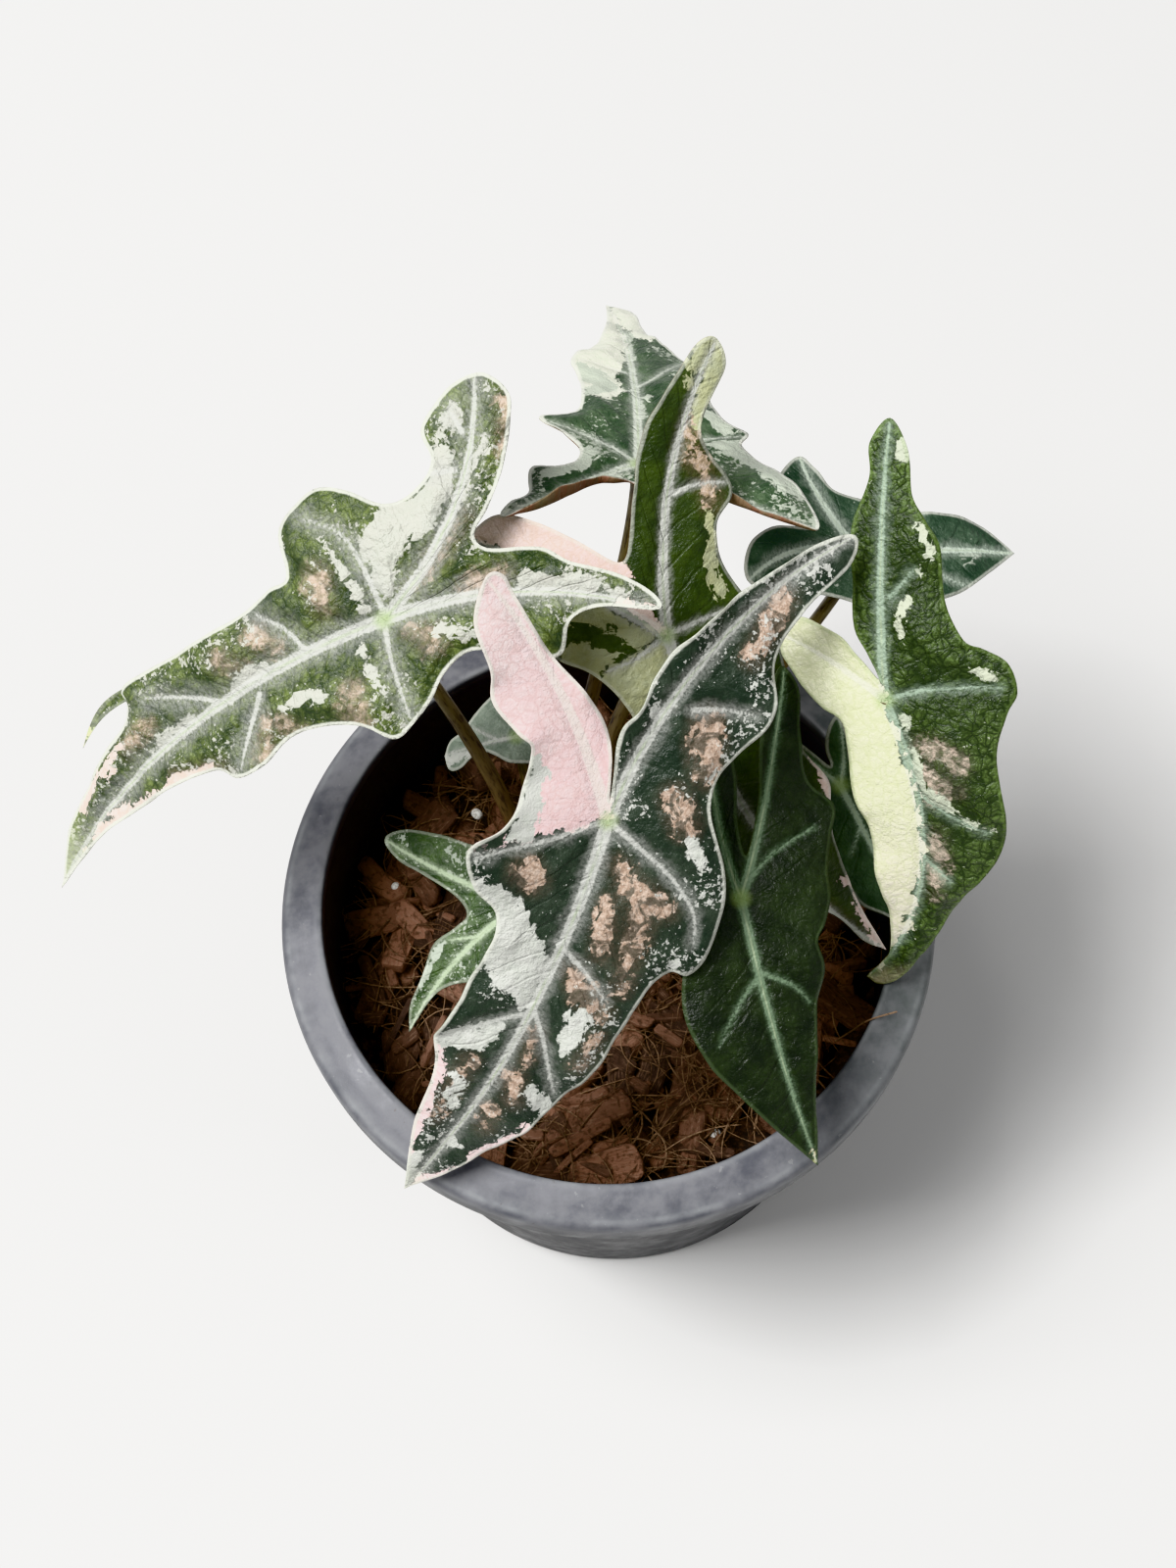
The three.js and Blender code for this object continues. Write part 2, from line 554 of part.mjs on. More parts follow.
function alongVein(tip, bow, f) {
  const length = Math.hypot(tip[0], tip[1]);
  const control = [tip[0] / 2 + (2 * bow * tip[1]) / length, tip[1] / 2 - (2 * bow * tip[0]) / length];
  const near = 2 * (1 - f) * f;
  return [near * control[0] + f * f * tip[0], near * control[1] + f * f * tip[1]];
}

// Columns stand at every outline point of either half, with more between where they are far apart.
function columnShares(first, second) {
  const marks = [0, 1];
  for (const half of [first, second]) {
    for (let i = 0; i < half.share.length; i += OUTLINE_STEPS) marks.push(half.share[i]);
  }
  marks.sort((a, b) => a - b);
  const length = Math.max(first.length, second.length);
  const shares = [0];
  for (const mark of marks) {
    const gap = mark - shares[shares.length - 1];
    if (gap * length < CLOSEST_COLUMNS) continue;
    const pieces = Math.ceil((gap * length) / COLUMN_STEP);
    for (let i = 1; i <= pieces; i += 1) shares.push(mark - gap + (gap * i) / pieces);
  }
  shares[shares.length - 1] = 1;
  return shares;
}

// The margin waves up and down, more towards the edge, and dies away at the hub and the tips.
function waveHeight(leaf, half, f, r) {
  const fade = Math.sin(Math.PI * f);
  const turns = half.length / WAVE_LENGTH;
  return leaf.wave * r * r * fade * Math.sin(turns * 2 * Math.PI * f + half.length * WAVE_PHASE);
}

// A rolled margin: the outer band turns up along an arc. Gives how far a point shifts in the blade's
// plane, how far it lifts, and which way the blade's thickness then points.
function marginRoll(leaf, foot, edge, f, r) {
  const width = Math.hypot(edge[0] - foot[0], edge[1] - foot[1]);
  const fade = Math.sqrt(Math.max(0, Math.sin(Math.PI * f)));
  if (fade < ROLL_FADE) return { shift: [0, 0], lift: 0, bent: [0, 0, 1] };
  const band = Math.min(leaf.innerRollWidth * fade, width * ROLL_SHARE) + STRAIGHT;
  const bentLength = Math.max(0, band - (1 - r) * width);
  const radius = band / (radians(leaf.innerRoll) * Math.min(1, fade * ROLL_OPENING));
  const turn = bentLength / radius;
  const outward = [(edge[0] - foot[0]) / width, (edge[1] - foot[1]) / width];
  const drawn = radius * Math.sin(turn) - bentLength;
  return {
    shift: [drawn * outward[0], drawn * outward[1]],
    lift: radius * (1 - Math.cos(turn)),
    bent: [-Math.sin(turn) * outward[0], -Math.sin(turn) * outward[1], Math.cos(turn)],
  };
}

// One sheet of points in the blade's own plane, with the triangles that join them
function bladeSheet(leaf) {
  const halves = outlineHalves(leaf);
  const sheet = { points: [], faces: [], known: new Map() };
  const add = (u, v, h, bent, rib) => {
    const key = `${u.toFixed(3)} ${v.toFixed(3)}`;
    if (!sheet.known.has(key)) {
      sheet.known.set(key, sheet.points.length);
      sheet.points.push({ u, v, h, bent, rib });
    }
    return sheet.known.get(key);
  };
  const quad = (a, b, c, d) => {
    for (const face of [[a, b, c], [a, c, d]]) {
      if (new Set(face).size === 3) sheet.faces.push(face);
    }
  };
  for (const arm of ARMS) {
    const shares = columnShares(halves[arm.halves[0]], halves[arm.halves[1]]);
    if (leaf.spur && arm.halves.includes(leaf.spur.side)) addSpur(leaf, halves, shares, add, quad);
    arm.halves.forEach((name, order) => {
      const half = halves[name];
      const rolled = name.endsWith('Inner') && leaf.innerRoll > 0;
      const columns = shares.map((f) => {
        const foot = alongVein(leaf[arm.vein], leaf[arm.bow], f);
        const edge = alongHalf(half, f);
        return RINGS.map((r) => {
          const u = foot[0] + r * (edge[0] - foot[0]);
          const v = foot[1] + r * (edge[1] - foot[1]);
          const rib = r === 0 ? RIB * Math.sqrt(1 - f) : 0;
          const h = waveHeight(leaf, half, f, r);
          if (!rolled) return add(u, v, h, [0, 0, 1], rib);
          const roll = marginRoll(leaf, foot, edge, f, r);
          return add(u + roll.shift[0], v + roll.shift[1], h + roll.lift, roll.bent, rib);
        });
      });
      for (let i = 1; i < columns.length; i += 1) {
        for (let j = 1; j < RINGS.length; j += 1) {
          const [a, b, c, d] = [columns[i - 1][j - 1], columns[i][j - 1], columns[i][j], columns[i - 1][j]];
          if (order === 0) quad(a, b, c, d);
          else quad(d, c, b, a);
        }
      }
    });
  }
  return sheet;
}

// A slender side tip that grows from a stretch of the margin
function addSpur(leaf, halves, shares, add, quad) {
  const { side, from, to, tip, bulge } = leaf.spur;
  const half = halves[side];
  const start = half.share[(from + 1) * OUTLINE_STEPS] - STRAIGHT;
  const end = half.share[(to + 1) * OUTLINE_STEPS] + STRAIGHT;
  const stretch = shares.filter((f) => f >= start && f <= end);
  const rows = [];
  for (let row = 0; row <= SPUR_STEPS; row += 1) {
    const t = row / SPUR_STEPS;
    rows.push(stretch.map((f, index) => {
      const [u, v] = alongHalf(half, f);
      const taper = 1 - (SPUR_TAPER * index) / (stretch.length - 1);
      const swell = bulge * Math.sin(Math.PI * t) * taper;
      const h = waveHeight(leaf, half, f, 1);
      return add(u + (tip[0] - u) * t + swell, v + (tip[1] - v) * t, h, [0, 0, 1], 0);
    }));
  }
  for (let row = 1; row <= SPUR_STEPS; row += 1) {
    for (let i = 1; i < stretch.length; i += 1) {
      const [a, b] = [rows[row - 1][i - 1], rows[row - 1][i]];
      const [d, c] = [rows[row][i - 1], rows[row][i]];
      quad(d, c, b, a);
    }
  }
}

// The blade is the sheet given thickness, with a rib under each main vein.
function blade(leaf) {
  const frame = leafFrame(leaf);
  const sheet = bladeSheet(leaf);
  const positions = [];
  for (const level of [1, -1]) {
    for (const { u, v, h, bent, rib } of sheet.points) {
      const offset = level > 0 ? BLADE / 2 : -(BLADE / 2 + rib);
      const moved = [u + bent[0] * offset, v + bent[1] * offset, h + bent[2] * offset];
      const point = bladePoint(leaf, frame, ...moved);
      positions.push(point.x, point.y, point.z);
    }
  }
  const count = sheet.points.length;
  const faces = [];
  const edges = new Map();
  for (const [a, b, c] of sheet.faces) {
    faces.push(a, b, c, count + a, count + c, count + b);
    for (const [from, to] of [[a, b], [b, c], [c, a]]) edges.set(`${from} ${to}`, [from, to]);
  }
  for (const [from, to] of edges.values()) {
    if (edges.has(`${to} ${from}`)) continue;
    faces.push(to, from, count + from, to, count + from, count + to);
  }
  const geometry = new THREE.BufferGeometry();
  geometry.setAttribute('position', new THREE.Float32BufferAttribute(positions, 3));
  geometry.setIndex(faces);
  return weld(geometry);
}

// Stalk: rises straight out of the mix, then bends out and meets its blade square on
function stalkFoot(leaf) {
  const turn = radians(leaf.base);
  return [CROWN[0] + STALK_CIRCLE * Math.cos(turn), CROWN[1] + STALK_CIRCLE * Math.sin(turn)];
}

function stalkCurve(leaf) {
  const [x, y] = stalkFoot(leaf);
  const { up } = leafFrame(leaf);
  const top = new THREE.Vector3(...leaf.hub).addScaledVector(up, -(BLADE / 2 + RIB + HOLE_CLEARANCE));
  const arrival = new THREE.Vector3(0, 0, 1).lerp(up, STALK_LEAN).normalize();
  const foot = new THREE.Vector3(x, y, SOIL_LEVEL - ROOT_DEPTH);
  const collar = new THREE.Vector3(x, y, SOIL_LEVEL + COLLAR);
  const path = new THREE.CurvePath();
  path.add(new THREE.LineCurve3(foot, collar));
  const upright = collar.clone().add(new THREE.Vector3(0, 0, leaf.rise));
  const lower = leaf.knee ? new THREE.Vector3(...leaf.knee) : upright;
  const upper = top.clone().addScaledVector(arrival, -leaf.reach);
  path.add(new THREE.CubicBezierCurve3(collar, lower, upper, top));
  return path;
}

function stalk(leaf) {
  const path = stalkCurve(leaf);
  const rings = [];
  const [straight, bowed] = path.curves;
  rings.push({ point: straight.getPoint(0), tangent: straight.getTangent(0), share: 0 });
  for (let i = 0; i <= STALK_STEPS; i += 1) {
    const t = i / STALK_STEPS;
    rings.push({ point: bowed.getPointAt(t), tangent: bowed.getTangentAt(t), share: t });
  }
  rings[rings.length - 1].tangent.copy(leafFrame(leaf).up);
  const positions = [];
  const sideways = new THREE.Vector3(1, 0, 0);
  for (const { point, tangent, share } of rings) {
    const across = sideways.clone().addScaledVector(tangent, -sideways.dot(tangent)).normalize();
    const other = new THREE.Vector3().crossVectors(tangent, across);
    sideways.copy(across);
    const radius = THREE.MathUtils.lerp(STALK_BASE_RADIUS, STALK_TOP_RADIUS, Math.sqrt(share));
    for (let side = 0; side < STALK_SIDES; side += 1) {
      const turn = (side / STALK_SIDES) * 2 * Math.PI;
      const corner = point.clone()
        .addScaledVector(across, radius * Math.cos(turn))
        .addScaledVector(other, radius * Math.sin(turn));
      positions.push(corner.x, corner.y, corner.z);
    }
  }
  const foot = rings[0].point;
  const top = rings[rings.length - 1].point;
  positions.push(foot.x, foot.y, foot.z, top.x, top.y, top.z);
  const footCentre = rings.length * STALK_SIDES;
  const faces = [];
  for (let side = 0; side < STALK_SIDES; side += 1) {
    const next = (side + 1) % STALK_SIDES;
    faces.push(footCentre, next, side);
    for (let ring = 1; ring < rings.length; ring += 1) {
      const low = (ring - 1) * STALK_SIDES;
      const high = ring * STALK_SIDES;
      faces.push(low + side, low + next, high + next, low + side, high + next, high + side);
    }
    const last = (rings.length - 1) * STALK_SIDES;
    faces.push(footCentre + 1, last + side, last + next);
  }
  const geometry = new THREE.BufferGeometry();
  geometry.setAttribute('position', new THREE.Float32BufferAttribute(positions, 3));
  geometry.setIndex(faces);
  return weld(geometry);
}

function piece(name, geometry, material) {
  const mesh = new THREE.Mesh(geometry, material);
  mesh.name = name;
  return mesh;
}

const plant = new THREE.Group();
plant.name = 'potted_alocasia';
plant.add(piece('pot', pot(), finish('#43464b', 0.55)));
plant.add(piece('potting_mix', pottingMix(LEAVES.map(stalkFoot)), finish('#4a2c1d', 0.95)));
plant.add(piece('crown', crown(), finish('#6d5a3c', 0.8)));
for (const leaf of LEAVES) {
  plant.add(piece(`stalk_${leaf.name}`, stalk(leaf), finish('#6b5b3e', 0.5)));
  plant.add(piece(`blade_${leaf.name}`, blade(leaf), finish(leaf.colour, 0.45)));
}

export default plant;
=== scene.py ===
import math

import bpy
import numpy as np
from mathutils import Matrix, Vector


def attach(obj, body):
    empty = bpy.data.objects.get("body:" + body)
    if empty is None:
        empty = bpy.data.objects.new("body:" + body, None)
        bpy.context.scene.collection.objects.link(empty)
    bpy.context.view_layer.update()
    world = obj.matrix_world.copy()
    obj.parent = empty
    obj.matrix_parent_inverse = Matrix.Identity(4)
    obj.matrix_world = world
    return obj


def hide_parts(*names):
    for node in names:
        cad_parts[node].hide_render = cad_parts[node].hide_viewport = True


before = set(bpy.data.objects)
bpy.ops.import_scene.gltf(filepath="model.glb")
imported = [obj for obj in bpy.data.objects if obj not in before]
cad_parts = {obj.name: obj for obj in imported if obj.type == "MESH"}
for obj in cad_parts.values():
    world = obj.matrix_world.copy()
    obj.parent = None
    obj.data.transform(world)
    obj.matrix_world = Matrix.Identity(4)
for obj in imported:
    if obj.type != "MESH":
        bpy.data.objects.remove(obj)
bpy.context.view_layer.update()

bl_info = {
    "name": "Potted alocasia",
    "version": (1, 0, 0),
    "blender": (4, 5, 0),
    "location": "View3D > Sidebar > Alocasia",
    "description": "Variegated, arrow-shaped leaves on slender stalks in a nursery pot of husk mix",
    "category": "Object",
}

MM = 0.001
BODY = "root"

# Pot, in millimetres
POT_HEIGHT = 118
RIM_OUTER_RADIUS = 75
RIM_INNER_RADIUS = 65
RIM_SKIRT_DEPTH = 13
BASE_RADIUS = 57
WALL_TOP_RADIUS = 68
WALL = 2
FLOOR = 3
RIM_WALL = 2.2
BASE_BEVEL = 3
BASE_BEVEL_TOP = 0.9
FLANGE = 5
FLANGE_FALL = 1.2
SKIRT_FILLET = 0.4
LEDGE = 3
EDGE_ROUNDING = 0.8
POT_SIDES = 288
DRAIN_HOLES = 6
DRAIN_RADIUS = 5
DRAIN_CIRCLE = 38
DRAIN_BAND = (28, 48)
DRAIN_STEPS = 48
# Steps of the rim's upper face, in from its outer edge or out from its inner one, and down from the top
RIM_CROWN = ((0, 4.8), (0.5, 3.6), (1.6, 2.7), (5, 1.2))
RIM_LIP = ((1.6, 0.1), (0.5, 0.2), (0, 1), (0, 4))
# Edges lightened partly by wear and partly by painted highlight, as radius and height, and how far the
# lightening spreads
EDGE_WEAR_AND_HIGHLIGHT = 0.9
POT_EDGES = ((74.9, 113.2), (65.4, 117.7), (74.7, 105.2), (73.4, 115.3))

# Potting mix, crown and stalks, in millimetres
MIX_LEVEL = 90
CLEARANCE = 0.3
COLLAR = 4
BED_DROP = 4.5
BED_EDGE_DROP = 4
BED_SLOPE = (0.03, -0.04)
CROWN = (-6, 8)
CROWN_RADIUS = 7
CROWN_TOP = 103
CROWN_TAPER = 3.2
CROWN_SIDES = 72
SCAR_PHASE = 44
SCAR_DEPTH = 0.05
ROOT_DEPTH = 8
HUSK_REACH = 64
# Each layer of chips: least and greatest half sizes, heights over the mix's level, how far from the
# middle and how near to the crown they lie, and their greatest tilt in radians
SMALL_CHIPS = (((2, 0.6, 0.4), (8, 1.8, 1.2)), (-2.5, 3.5), 62, 4, 0.55)
LARGE_CHIPS = (((5, 2.0, 1.2), (11, 4.4, 2.8)), (-4, 2.2), 60, 15, 0.45)
GRAIN_HALF_SIZES = (1.5, 1.2, 1.0)
# How square and how rough chips and grains are, with the grains' greatest tilt first
CHIP_FORM = (0.3, 0.17)
GRAIN_FORM = (0.6, 0.8, 0.16)
# Crumbs of the bed: height, size and seed
CRUMBS = ((1.3, 5.5, 21), (0.7, 2.1, 22))
FIBRE_SPREAD = 58
FIBRE_CLEAR = 4
FIBRE_LENGTHS = (5, 30)
FIBRE_RADII = (0.09, 0.24)
FIBRE_BEND = 0.08
FIBRE_LIFT = 4.5
FIBRE_CLIMB = (-0.06, 0.14)
MIX_SEED = 11
WHITE_GRAINS = ((17.2, -50.4, 92), (-26.9, 36.7, 91.5), (-48.3, 20.8, 91.5), (40, -37, 92), (-30, -44, 92))
STRAY_FIBRE = ((47.2, -33.3, 92), (50.5, -35.6, 108), (53.4, -36.6, 118), (59.9, -36, 119.5))
STRAY_RADIUS = 0.2
STALK_CIRCLE = 10.4
STALK_BASE_RADIUS = 2.2
STALK_TOP_RADIUS = 1.4
STALK_LEAN = 0.45
STALK_SHEATH = 0.25
STALK_FLARE = 0.5
STALK_RIDGES = 7
STALK_RIDGE = 0.035
STALK_SIDES = 28
STALK_STEPS = 90
STALK_FOOT_STEPS = 8
STALK_END_DEPTH = 0.7

# Blades, in millimetres and degrees
BLADE = 0.5
EDGE = 0.16
RIB = 0.8
LOBE_BEND_LENGTH = 40
CURL_LENGTH = 30
CREASE = 3
HUB_BLEND = 8
STRAIGHT = 1e-6
WAVE_PHASE = 1.3
FINE_WAVE = 0.22
ROLL_FADE = 0.05
ROLL_OPENING = 1.2
ROLL_SHARE = 0.8
LADDER_SLANT = 0.55
FINE_TURNS = 5.3
# Main veins: least share of their full width, the length that adds one whole width, share at their end
VEIN_LEAST = 0.4
VEIN_GROWTH = 60
VEIN_END = 0.16
LATERAL_WIDTHS = (0.42, 0.12)
# Relief between the veins: where it is full, how much a pale half calms it, widths and heights
CALM_MARGIN = 5
PALE_CALM = 0.93
SWELL_WIDTH = 4
GROOVE = 0.25
RUNG = 0.25
UNEVEN = 0.3
# Side tip: its grid, its start inside the margin, its half thickness, and how hollow it is
SPUR_GRID = (25, 11)
SPUR_ROOT = 1.6
SPUR_EDGE = 0.08
SPUR_SWELL = 0.17
SPUR_CUP = 0.7
GRID_STEP = 0.62
RING_STEP = 0.95
RINGS = (14, 32)
OUTLINE_STEPS = 12
WAVE_LENGTH = 22
LADDER_STEP = 7.5
FAR = 50

# Camera over the pot, from the ellipse of the rim in the photograph of 1200 by 1600 pixels
CAMERA_PLACE = (-20, -197, 664)
CAMERA_PITCH = 67.4
CAMERA_YAW = 5.0
CAMERA_ROLL = -3.5
CAMERA_LENS = 58.5
CAMERA_SENSOR = 36

# Stage, in metres
FLOOR_RADIUS = 16
FLOOR_SIDES = 96
AIM = (0, 0, 0.15)
KEY_PLACE = (-1.10, 0.05, 2.35)
FILL_PLACE = (1.9, -0.9, 1.9)
FILL_SHARE = 0.14
WORLD_STRENGTH = 0.36

# Each leaf: the point where its stalk meets the blade, the heading of its tip from +X towards +Y, how
# far its tip and its right side dip, how much the front droops over its length, how much each back
# lobe rises over 40 mm, how each half folds up and curls down, and how high its margin waves. Base,
# rise, reach and knee set its stalk's foot and curve. Outline points are millimetres right of the
# midrib and towards the tip, listed from the waist or the sinus outwards.
LEAVES = {
    "left_large": {
        "hub": (-39, 35, 205), "heading": -164, "slope": 22, "roll": -16, "droop": 30,
        "lift": (-6, -6), "fold": (4, 4), "curl": (8, 8), "wave": 1,
        "base": 160, "rise": 70, "reach": 40,
        "tip": (-7, 105), "bow": 7, "left_tip": (-27, -49), "left_bow": -4.5,
        "right_tip": (33, -41), "right_bow": 6,
        "sinus": (5, -25), "waist_left": (-21, 4), "waist_right": (30, 3),
        "front_left": [(-22, 10), (-16, 15), (-12, 22), (-10, 30), (-12, 38), (-11, 45), (-7, 49),
                       (-5, 58), (-4, 70), (-4, 88)],
        "front_right": [(27, 10), (18, 13), (18, 18), (17, 27), (18, 41), (19, 54), (18.6, 60),
                        (16, 60.5), (13, 64), (9, 75), (3, 91)],
        "left_outer": [(-19, -1), (-16, -6), (-15, -13), (-22, -22), (-25, -28), (-20, -33), (-21, -40)],
        "left_inner": [(1, -26), (-4, -35), (-10, -39), (-17, -46), (-24, -50)],
        "right_outer": [(30, -2), (26, -7), (20, -12), (19, -19), (22, -25), (29, -26), (33, -34)],
        "right_inner": [(8, -30), (12, -35), (20, -42), (25, -45), (30, -44)],
        "spur": {"tip": (14, 77), "start": (18.6, 60), "end": (16, 60.5), "width": 3.4, "bulge": 2.2},
    },
    "front_large": {
        "hub": (0, -9, 190), "heading": -136, "slope": 31, "roll": -30, "droop": 24,
        "lift": (-8, 0), "fold": (0, 18), "curl": (6, 0), "wave": 1,
        "base": -82, "rise": 60, "reach": 34,
        "tip": (-11, 103), "bow": -4, "left_tip": (-15, -74), "left_bow": -8,
        "right_tip": (52, -34), "right_bow": 3,
        "sinus": (2, -4), "waist_left": (-34, 16), "waist_right": (24, 17),
        "front_left": [(-33, 22), (-29, 23), (-27, 29), (-28, 39), (-28, 51), (-26, 64), (-22, 79),
                       (-15, 95)],
        "front_right": [(18, 24), (10, 28), (7, 38), (6, 49), (6, 59), (1, 68), (-3, 84)],
        "left_outer": [(-31, 5), (-26, -3), (-17, -12), (-15, -19), (-18, -29), (-18, -36),
                       (-13, -45), (-13, -56), (-17, -68)],
        "left_inner": [(8.2, -17), (7.6, -23), (8, -30), (7, -38), (4, -47), (-2, -58), (-9, -69)],
        "right_outer": [(20, 10), (20, 3), (24, -7), (29, -9), (36, -12), (41, -18), (49, -25)],
        "right_inner": [(10, -16), (20, -22), (31, -26), (44, -33), (49, -36)],
    },
    "centre_dark": {
        "hub": (18, 29, 192), "heading": -48, "slope": 37, "roll": 8, "droop": 20,
        "lift": (8, -30), "fold": (-3, -8), "curl": (-10, 8), "wave": 0.8,
        "base": 67, "rise": 60, "reach": 34,
        "tip": (5, 98), "bow": 9, "left_tip": (-46, -40), "left_bow": -4,
        "right_tip": (15, -44), "right_bow": 0,
        "sinus": (-3, -18), "waist_left": (-18, 6), "waist_right": (17, -5),
        "front_left": [(-19, 14), (-15, 24), (-9, 34), (-7, 42), (-7, 50), (-4, 57), (1, 67), (4, 83)],
        "front_right": [(16, 4), (18, 14), (24, 22), (29, 32), (29, 44), (24, 56), (16, 68), (10, 79),
                        (8, 91)],
        "left_outer": [(-19, -3), (-23, -10), (-29, -12), (-31, -15), (-31, -21), (-32, -27),
                       (-36, -30), (-44, -34)],
        "left_inner": [(-12, -26), (-19, -32), (-26, -37), (-36, -40), (-43, -42)],
        "right_outer": [(20, -12), (21, -21), (20, -33), (18, -40)],
        "right_inner": [(1, -28), (4, -36), (8, -43)],
    },
    "back_pale": {
        "hub": (18, 69, 194), "heading": 87, "slope": 26, "roll": 6, "droop": 20,
        "lift": (18, 8), "fold": (4, 0), "curl": (4, 4), "wave": 0.8,
        "base": 97, "rise": 70, "reach": 40, "inner_roll": 100, "inner_roll_width": 5,
        "tip": (1, 93), "bow": 2, "left_tip": (-30, -24), "left_bow": 1,
        "right_tip": (35, -24), "right_bow": 1,
        "sinus": (-1, -9), "waist_left": (-20, 17), "waist_right": (25, 12),
        "front_left": [(-12, 20), (-10, 28), (-10, 39), (-11, 46), (-6, 55), (-2, 66), (0, 79)],
        "front_right": [(21, 16), (19, 22), (18, 32), (16, 47), (11, 56), (8, 69), (6, 86)],
        "left_outer": [(-15, 10), (-12, 4), (-16, -3), (-23, -4), (-24, -13), (-28, -18)],
        "left_inner": [(-6, -11), (-10, -12), (-15, -18), (-22, -24)],
        "right_outer": [(23, 7), (27, 1), (32, -7), (35, -14)],
        "right_inner": [(6, -15), (13, -18), (21, -19), (28, -23)],
    },
    "right_two_tone": {
        "hub": (60, 10, 187), "heading": -96, "slope": 45, "roll": 18, "droop": 30,
        "lift": (-6, -10), "fold": (0, -4), "curl": (6, 8), "wave": 0.8,
        "base": -20, "rise": 14, "reach": 62, "knee": (54, 4, 97),
        "tip": (8, 78), "bow": -11, "left_tip": (0, -58), "left_bow": -1,
        "right_tip": (22, -12), "right_bow": 1,
        "sinus": (1, -4), "waist_left": (-27, -3), "waist_right": (9, 6),
        "front_left": [(-25, 2), (-23, 12), (-25, 27), (-23, 37), (-16, 47), (-7, 64), (-1, 75), (5, 80)],
        "front_right": [(8, 12), (7, 22), (4, 31), (3, 42), (1, 55), (2, 68)],
        "left_outer": [(-25, -9), (-20, -12), (-16, -14), (-12, -22), (-11, -33), (-8, -38),
                       (-5, -43), (-4, -52)],
        "left_inner": [(3.6, -10), (6.6, -16), (7, -27), (7, -37), (4, -46), (4, -53)],
        "right_outer": [(13, 3), (17, -1), (22, -7)],
        "right_inner": [(5.4, -9), (9, -13), (14, -15), (19, -16)],
    },
    "back_right": {
        "hub": (66, 58, 160), "heading": 2, "slope": 12, "roll": 4, "droop": 14,
        "lift": (0, 0), "fold": (0, 0), "curl": (6, 6), "wave": 0.6,
        "base": 38, "rise": 14, "reach": 34,
        "tip": (1, 39), "bow": 0, "left_tip": (-25, -9), "left_bow": -1.5,
        "right_tip": (5, -27), "right_bow": 4,
        "sinus": (-7, -10), "waist_left": (-13, 3), "waist_right": (14, 3),
        "front_left": [(-10, 10), (-9, 20), (-6, 31)],
        "front_right": [(13, 12), (11, 22), (6, 31)],
        "left_outer": [(-16, -3), (-21, -6)],
        "left_inner": [(-13, -16), (-20, -15)],
        "right_outer": [(11, -7), (9, -14), (9, -22)],
        "right_inner": [(-8, -18), (-5, -24), (0, -27)],
    },
    "low_front_dark": {
        "hub": (26, -20, 164), "heading": -79, "slope": 23, "roll": -7, "droop": 22,
        "lift": (8, 3), "fold": (0, 0), "curl": (8, 8), "wave": 0.7,
        "base": -50, "rise": 26, "reach": 26,
        "tip": (-1, 62), "bow": 2, "left_tip": (-24, -43), "left_bow": 1.5,
        "right_tip": (-4, -35), "right_bow": -1.5,
        "sinus": (-4, -8), "waist_left": (-20, 1), "waist_right": (12, 1),
        "front_left": [(-19, 6), (-16, 11), (-13, 14), (-13, 20), (-9, 28), (-6, 38), (-3, 51)],
        "front_right": [(16, 9), (19, 20), (17, 31), (13, 39), (6, 51)],
        "left_outer": [(-23, -6), (-26, -12), (-22, -19), (-23, -28), (-26, -37)],
        "left_inner": [(-9, -16), (-14, -29), (-19, -38), (-21.5, -42)],
        "right_outer": [(11, -7), (6, -15), (1, -23), (-1, -31)],
        "right_inner": [(-4, -15), (-7, -24), (-7, -31)],
    },
    "small_left": {
        "hub": (-20, -2, 130), "heading": -146, "slope": 15, "roll": 0, "droop": 20,
        "lift": (10, 10), "fold": (2, 2), "curl": (6, 6), "wave": 0.5,
        "base": -165, "rise": 16, "reach": 14,
        "tip": (-1, 39), "bow": 2, "left_tip": (-13, -7), "left_bow": 0,
        "right_tip": (34, 12), "right_bow": -1,
        "sinus": (1, -4), "waist_left": (-12, 3), "waist_right": (7, 10),
        "front_left": [(-11, 10), (-7, 17), (-2, 23), (0, 29)],
        "front_right": [(7, 14), (8, 20), (5, 27), (3, 34)],
        "left_outer": [(-15, -1), (-16, -5)],
        "left_inner": [(-3, -6), (-8, -8)],
        "right_outer": [(12, 9), (21, 11), (28, 13)],
        "right_inner": [(6, -5), (13, -4), (19, -1), (25, 2), (32, 7)],
    },
    "small_back_left": {
        "hub": (-15, 44, 118), "heading": -174, "slope": 9, "roll": 0, "droop": 20,
        "lift": (0, 0), "fold": (0, 0), "curl": (6, 6), "wave": 0.4,
        "base": 128, "rise": 12, "reach": 14,
        "tip": (2, 18.5), "bow": 0, "left_tip": (-7, -13), "left_bow": 0,
        "right_tip": (9, -13), "right_bow": 0,
        "sinus": (1, -5), "waist_left": (-6, 3), "waist_right": (12, 3),
        "front_left": [(-3, 6), (-1, 8.5), (-1, 11), (-3, 15), (-2, 18)],
        "front_right": [(9, 8), (6, 12), (5, 16)],
        "left_outer": [(-8, -3), (-9, -9)],
        "left_inner": [(-2, -9), (-5, -13)],
        "right_outer": [(13, -3), (12, -10)],
        "right_inner": [(3, -9), (6, -12)],
    },
    "small_right_dark": {
        "hub": (55, 13, 136), "heading": -69, "slope": 20, "roll": 0, "droop": 20,
        "lift": (0, 0), "fold": (0, 0), "curl": (6, 6), "wave": 0.4,
        "base": 9, "rise": 12, "reach": 20,
        "tip": (0, 36), "bow": 0, "left_tip": (-7, -14), "left_bow": 1,
        "right_tip": (7, -16), "right_bow": 0,
        "sinus": (0, -5), "waist_left": (-5, 2), "waist_right": (9, 3),
        "front_left": [(-6, 9), (-6, 18), (-4, 28)],
        "front_right": [(9, 10), (9, 19), (8, 26), (4, 31)],
        "left_outer": [(-5, -4), (-7, -9)],
        "left_inner": [(-1, -9), (-4, -13)],
